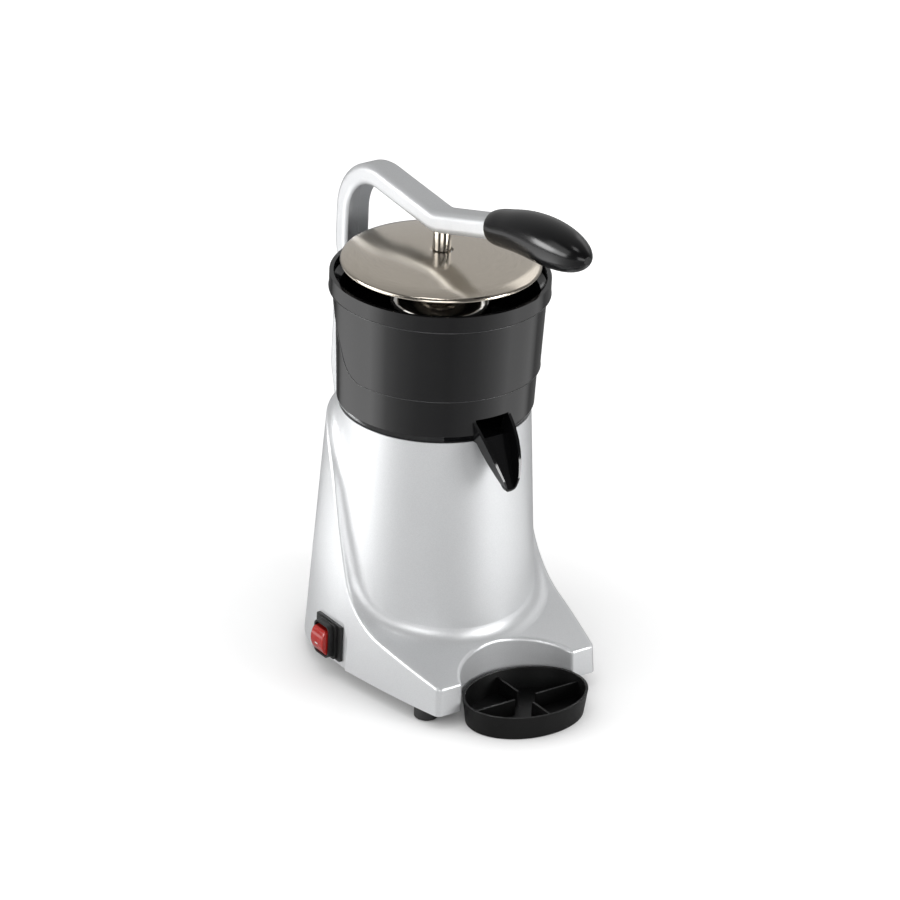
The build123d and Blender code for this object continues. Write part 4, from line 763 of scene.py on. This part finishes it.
def make_ring(near, far, height):
    """A ring of cards round the column whose brightness changes with the direction."""
    finish, tree, shader = glow("card_ring", RING_BRIGHTEST)
    spread = tree.nodes.new("ShaderNodeTexGradient")
    spread.gradient_type = "RADIAL"
    tree.links.new(own_place(tree), spread.inputs["Vector"])
    ramp = tree.nodes.new("ShaderNodeValToRGB")
    tree.links.new(spread.outputs["Fac"], ramp.inputs["Fac"])
    stops = ramp.color_ramp.elements
    for angle, _ in CARD_TONES[1:-1]:
        stops.new(angle / 360 + 0.5)
    for stop, (angle, tone) in zip(stops, CARD_TONES):
        stop.position = angle / 360 + 0.5
        grey = tone / RING_BRIGHTEST
        stop.color = (grey, grey, grey, 1.0)
    tree.links.new(ramp.outputs["Color"], shader.inputs["Emission Color"])
    angles = [2 * math.pi * step / RING_STEPS for step in range(RING_STEPS)]
    corners = [(reach * math.cos(a), reach * math.sin(a), 0.0) for reach in (near, far) for a in angles]
    afters = [(step + 1) % RING_STEPS for step in range(RING_STEPS)]
    quads = [(step, after, RING_STEPS + after, RING_STEPS + step) for step, after in enumerate(afters)]
    mesh = bpy.data.meshes.new("card_ring")
    mesh.from_pydata(corners, [], quads)
    mesh.materials.append(finish)
    ring = bpy.data.objects.new("card_ring", mesh)
    ring.location = (axis_x, axis_y, height)
    bpy.context.collection.objects.link(ring)
    return only_reflected(ring)


ring = make_ring(near=0.25, far=1.4, height=-0.0003)
print("card:", ring.name)

# %% [markdown]
# ### The tent overhead
# Seen from the front, the lid and the lever mirror what hangs over the juicer and behind it. The white world
# alone would wash them out. So a dark dome stands in its way, lighter towards one direction behind the
# juicer.

# %% Tent
# The direction of the light side, and the cosines of the angles to it where the dome is darkest and lightest.
TENT_LIGHT_SIDE = (0.52, 0.73, 0.44)
TENT_FADE = (0.1, 0.95)


def make_tent(radius, dark, light):
    """A dark dome over the juicer that is lighter behind it."""
    finish, tree, shader = glow("card_tent", 1.0)
    unit = tree.nodes.new("ShaderNodeVectorMath")
    unit.operation = "NORMALIZE"
    tree.links.new(own_place(tree), unit.inputs[0])
    facing = tree.nodes.new("ShaderNodeVectorMath")
    facing.operation = "DOT_PRODUCT"
    facing.inputs[1].default_value = TENT_LIGHT_SIDE
    tree.links.new(unit.outputs["Vector"], facing.inputs[0])
    tone = tree.nodes.new("ShaderNodeMapRange")
    span = {"From Min": TENT_FADE[0], "From Max": TENT_FADE[1], "To Min": dark, "To Max": light}
    for socket, value in span.items():
        tone.inputs[socket].default_value = value
    tree.links.new(facing.outputs["Value"], tone.inputs["Value"])
    tree.links.new(tone.outputs["Result"], shader.inputs["Emission Strength"])
    shell = bmesh.new()
    bmesh.ops.create_uvsphere(shell, u_segments=48, v_segments=24, radius=radius)
    below = [corner for corner in shell.verts if corner.co.z < -0.001]
    bmesh.ops.delete(shell, geom=below, context="VERTS")
    mesh = bpy.data.meshes.new("card_tent")
    shell.to_mesh(mesh)
    shell.free()
    mesh.materials.append(finish)
    tent = bpy.data.objects.new("card_tent", mesh)
    tent.location = (axis_x, axis_y, 0.0)
    bpy.context.collection.objects.link(tent)
    return only_reflected(tent)


tent = make_tent(radius=4.0, dark=0.08, light=0.55)
print("card:", tent.name)

# %% [markdown]
# ### Upright cards
# Round edges and the handle need a bright upright shape to mirror, or they look flat under the dark tent.
# Two cards on the left and one on the right stand inside the tent. Each is one flat sheet, given by the
# directions and the heights that it spans.

# %% Upright cards
CARD_DISTANCE = 2.0


def upright_card(name, first, last, low, high, strength):
    """A card that spans a range of directions, in degrees from +X, and of heights in metres."""
    turns = [math.radians(angle) for angle in (first, last)]
    spots = [(CARD_DISTANCE * math.cos(turn), CARD_DISTANCE * math.sin(turn)) for turn in turns]
    corners = [(x, y, z) for (x, y), z in zip((*spots, *reversed(spots)), (low, low, high, high))]
    return only_reflected(sheet(name, corners, glow(name, strength)[0]))


left_card = upright_card("card_left", first=145, last=186, low=0.8, high=1.9, strength=1.6)
key_card = upright_card("card_key", first=136, last=160, low=0.25, high=0.8, strength=7.0)
right_card = upright_card("card_right", first=-12, last=34, low=1.0, high=2.2, strength=1.3)
print("cards:", [card.name for card in (left_card, key_card, right_card)])

# %% [markdown]
# ## Camera
# The camera stands to the left in front and looks down, with a long lens, as in the photograph: a long lens
# keeps upright lines nearly parallel. A small shift moves the juicer to its place in the frame without
# turning the camera.

# %% Camera
CAMERA_TURN, CAMERA_RISE, CAMERA_ROLL = 35.554, 25.384, 2.471
CAMERA_DISTANCE = 4.2966
CAMERA_LENS = 219.9
CAMERA_SHIFT = (0.018, -0.020)


def make_camera():
    """The photograph's viewpoint: turned and raised about the target, in degrees, and rolled a little."""
    turn, rise, roll = (math.radians(angle) for angle in (CAMERA_TURN, CAMERA_RISE, CAMERA_ROLL))
    back = Vector((-math.sin(turn) * math.cos(rise), -math.cos(turn) * math.cos(rise), math.sin(rise)))
    data = bpy.data.cameras.new("camera")
    data.sensor_width = 36.0
    data.lens = CAMERA_LENS
    data.shift_x, data.shift_y = CAMERA_SHIFT
    data.clip_end = 50.0
    camera = bpy.data.objects.new("camera", data)
    facing = (-back).to_track_quat("-Z", "Y").to_matrix().to_4x4()
    stand = Matrix.Translation(TARGET + back * CAMERA_DISTANCE)
    camera.matrix_world = stand @ facing @ Matrix.Rotation(roll, 4, "Z")
    bpy.context.collection.objects.link(camera)
    bpy.context.scene.camera = camera
    return camera


camera = make_camera()
bpy.context.scene.view_settings.view_transform = "Standard"
print("camera at", [round(v, 3) for v in camera.location])
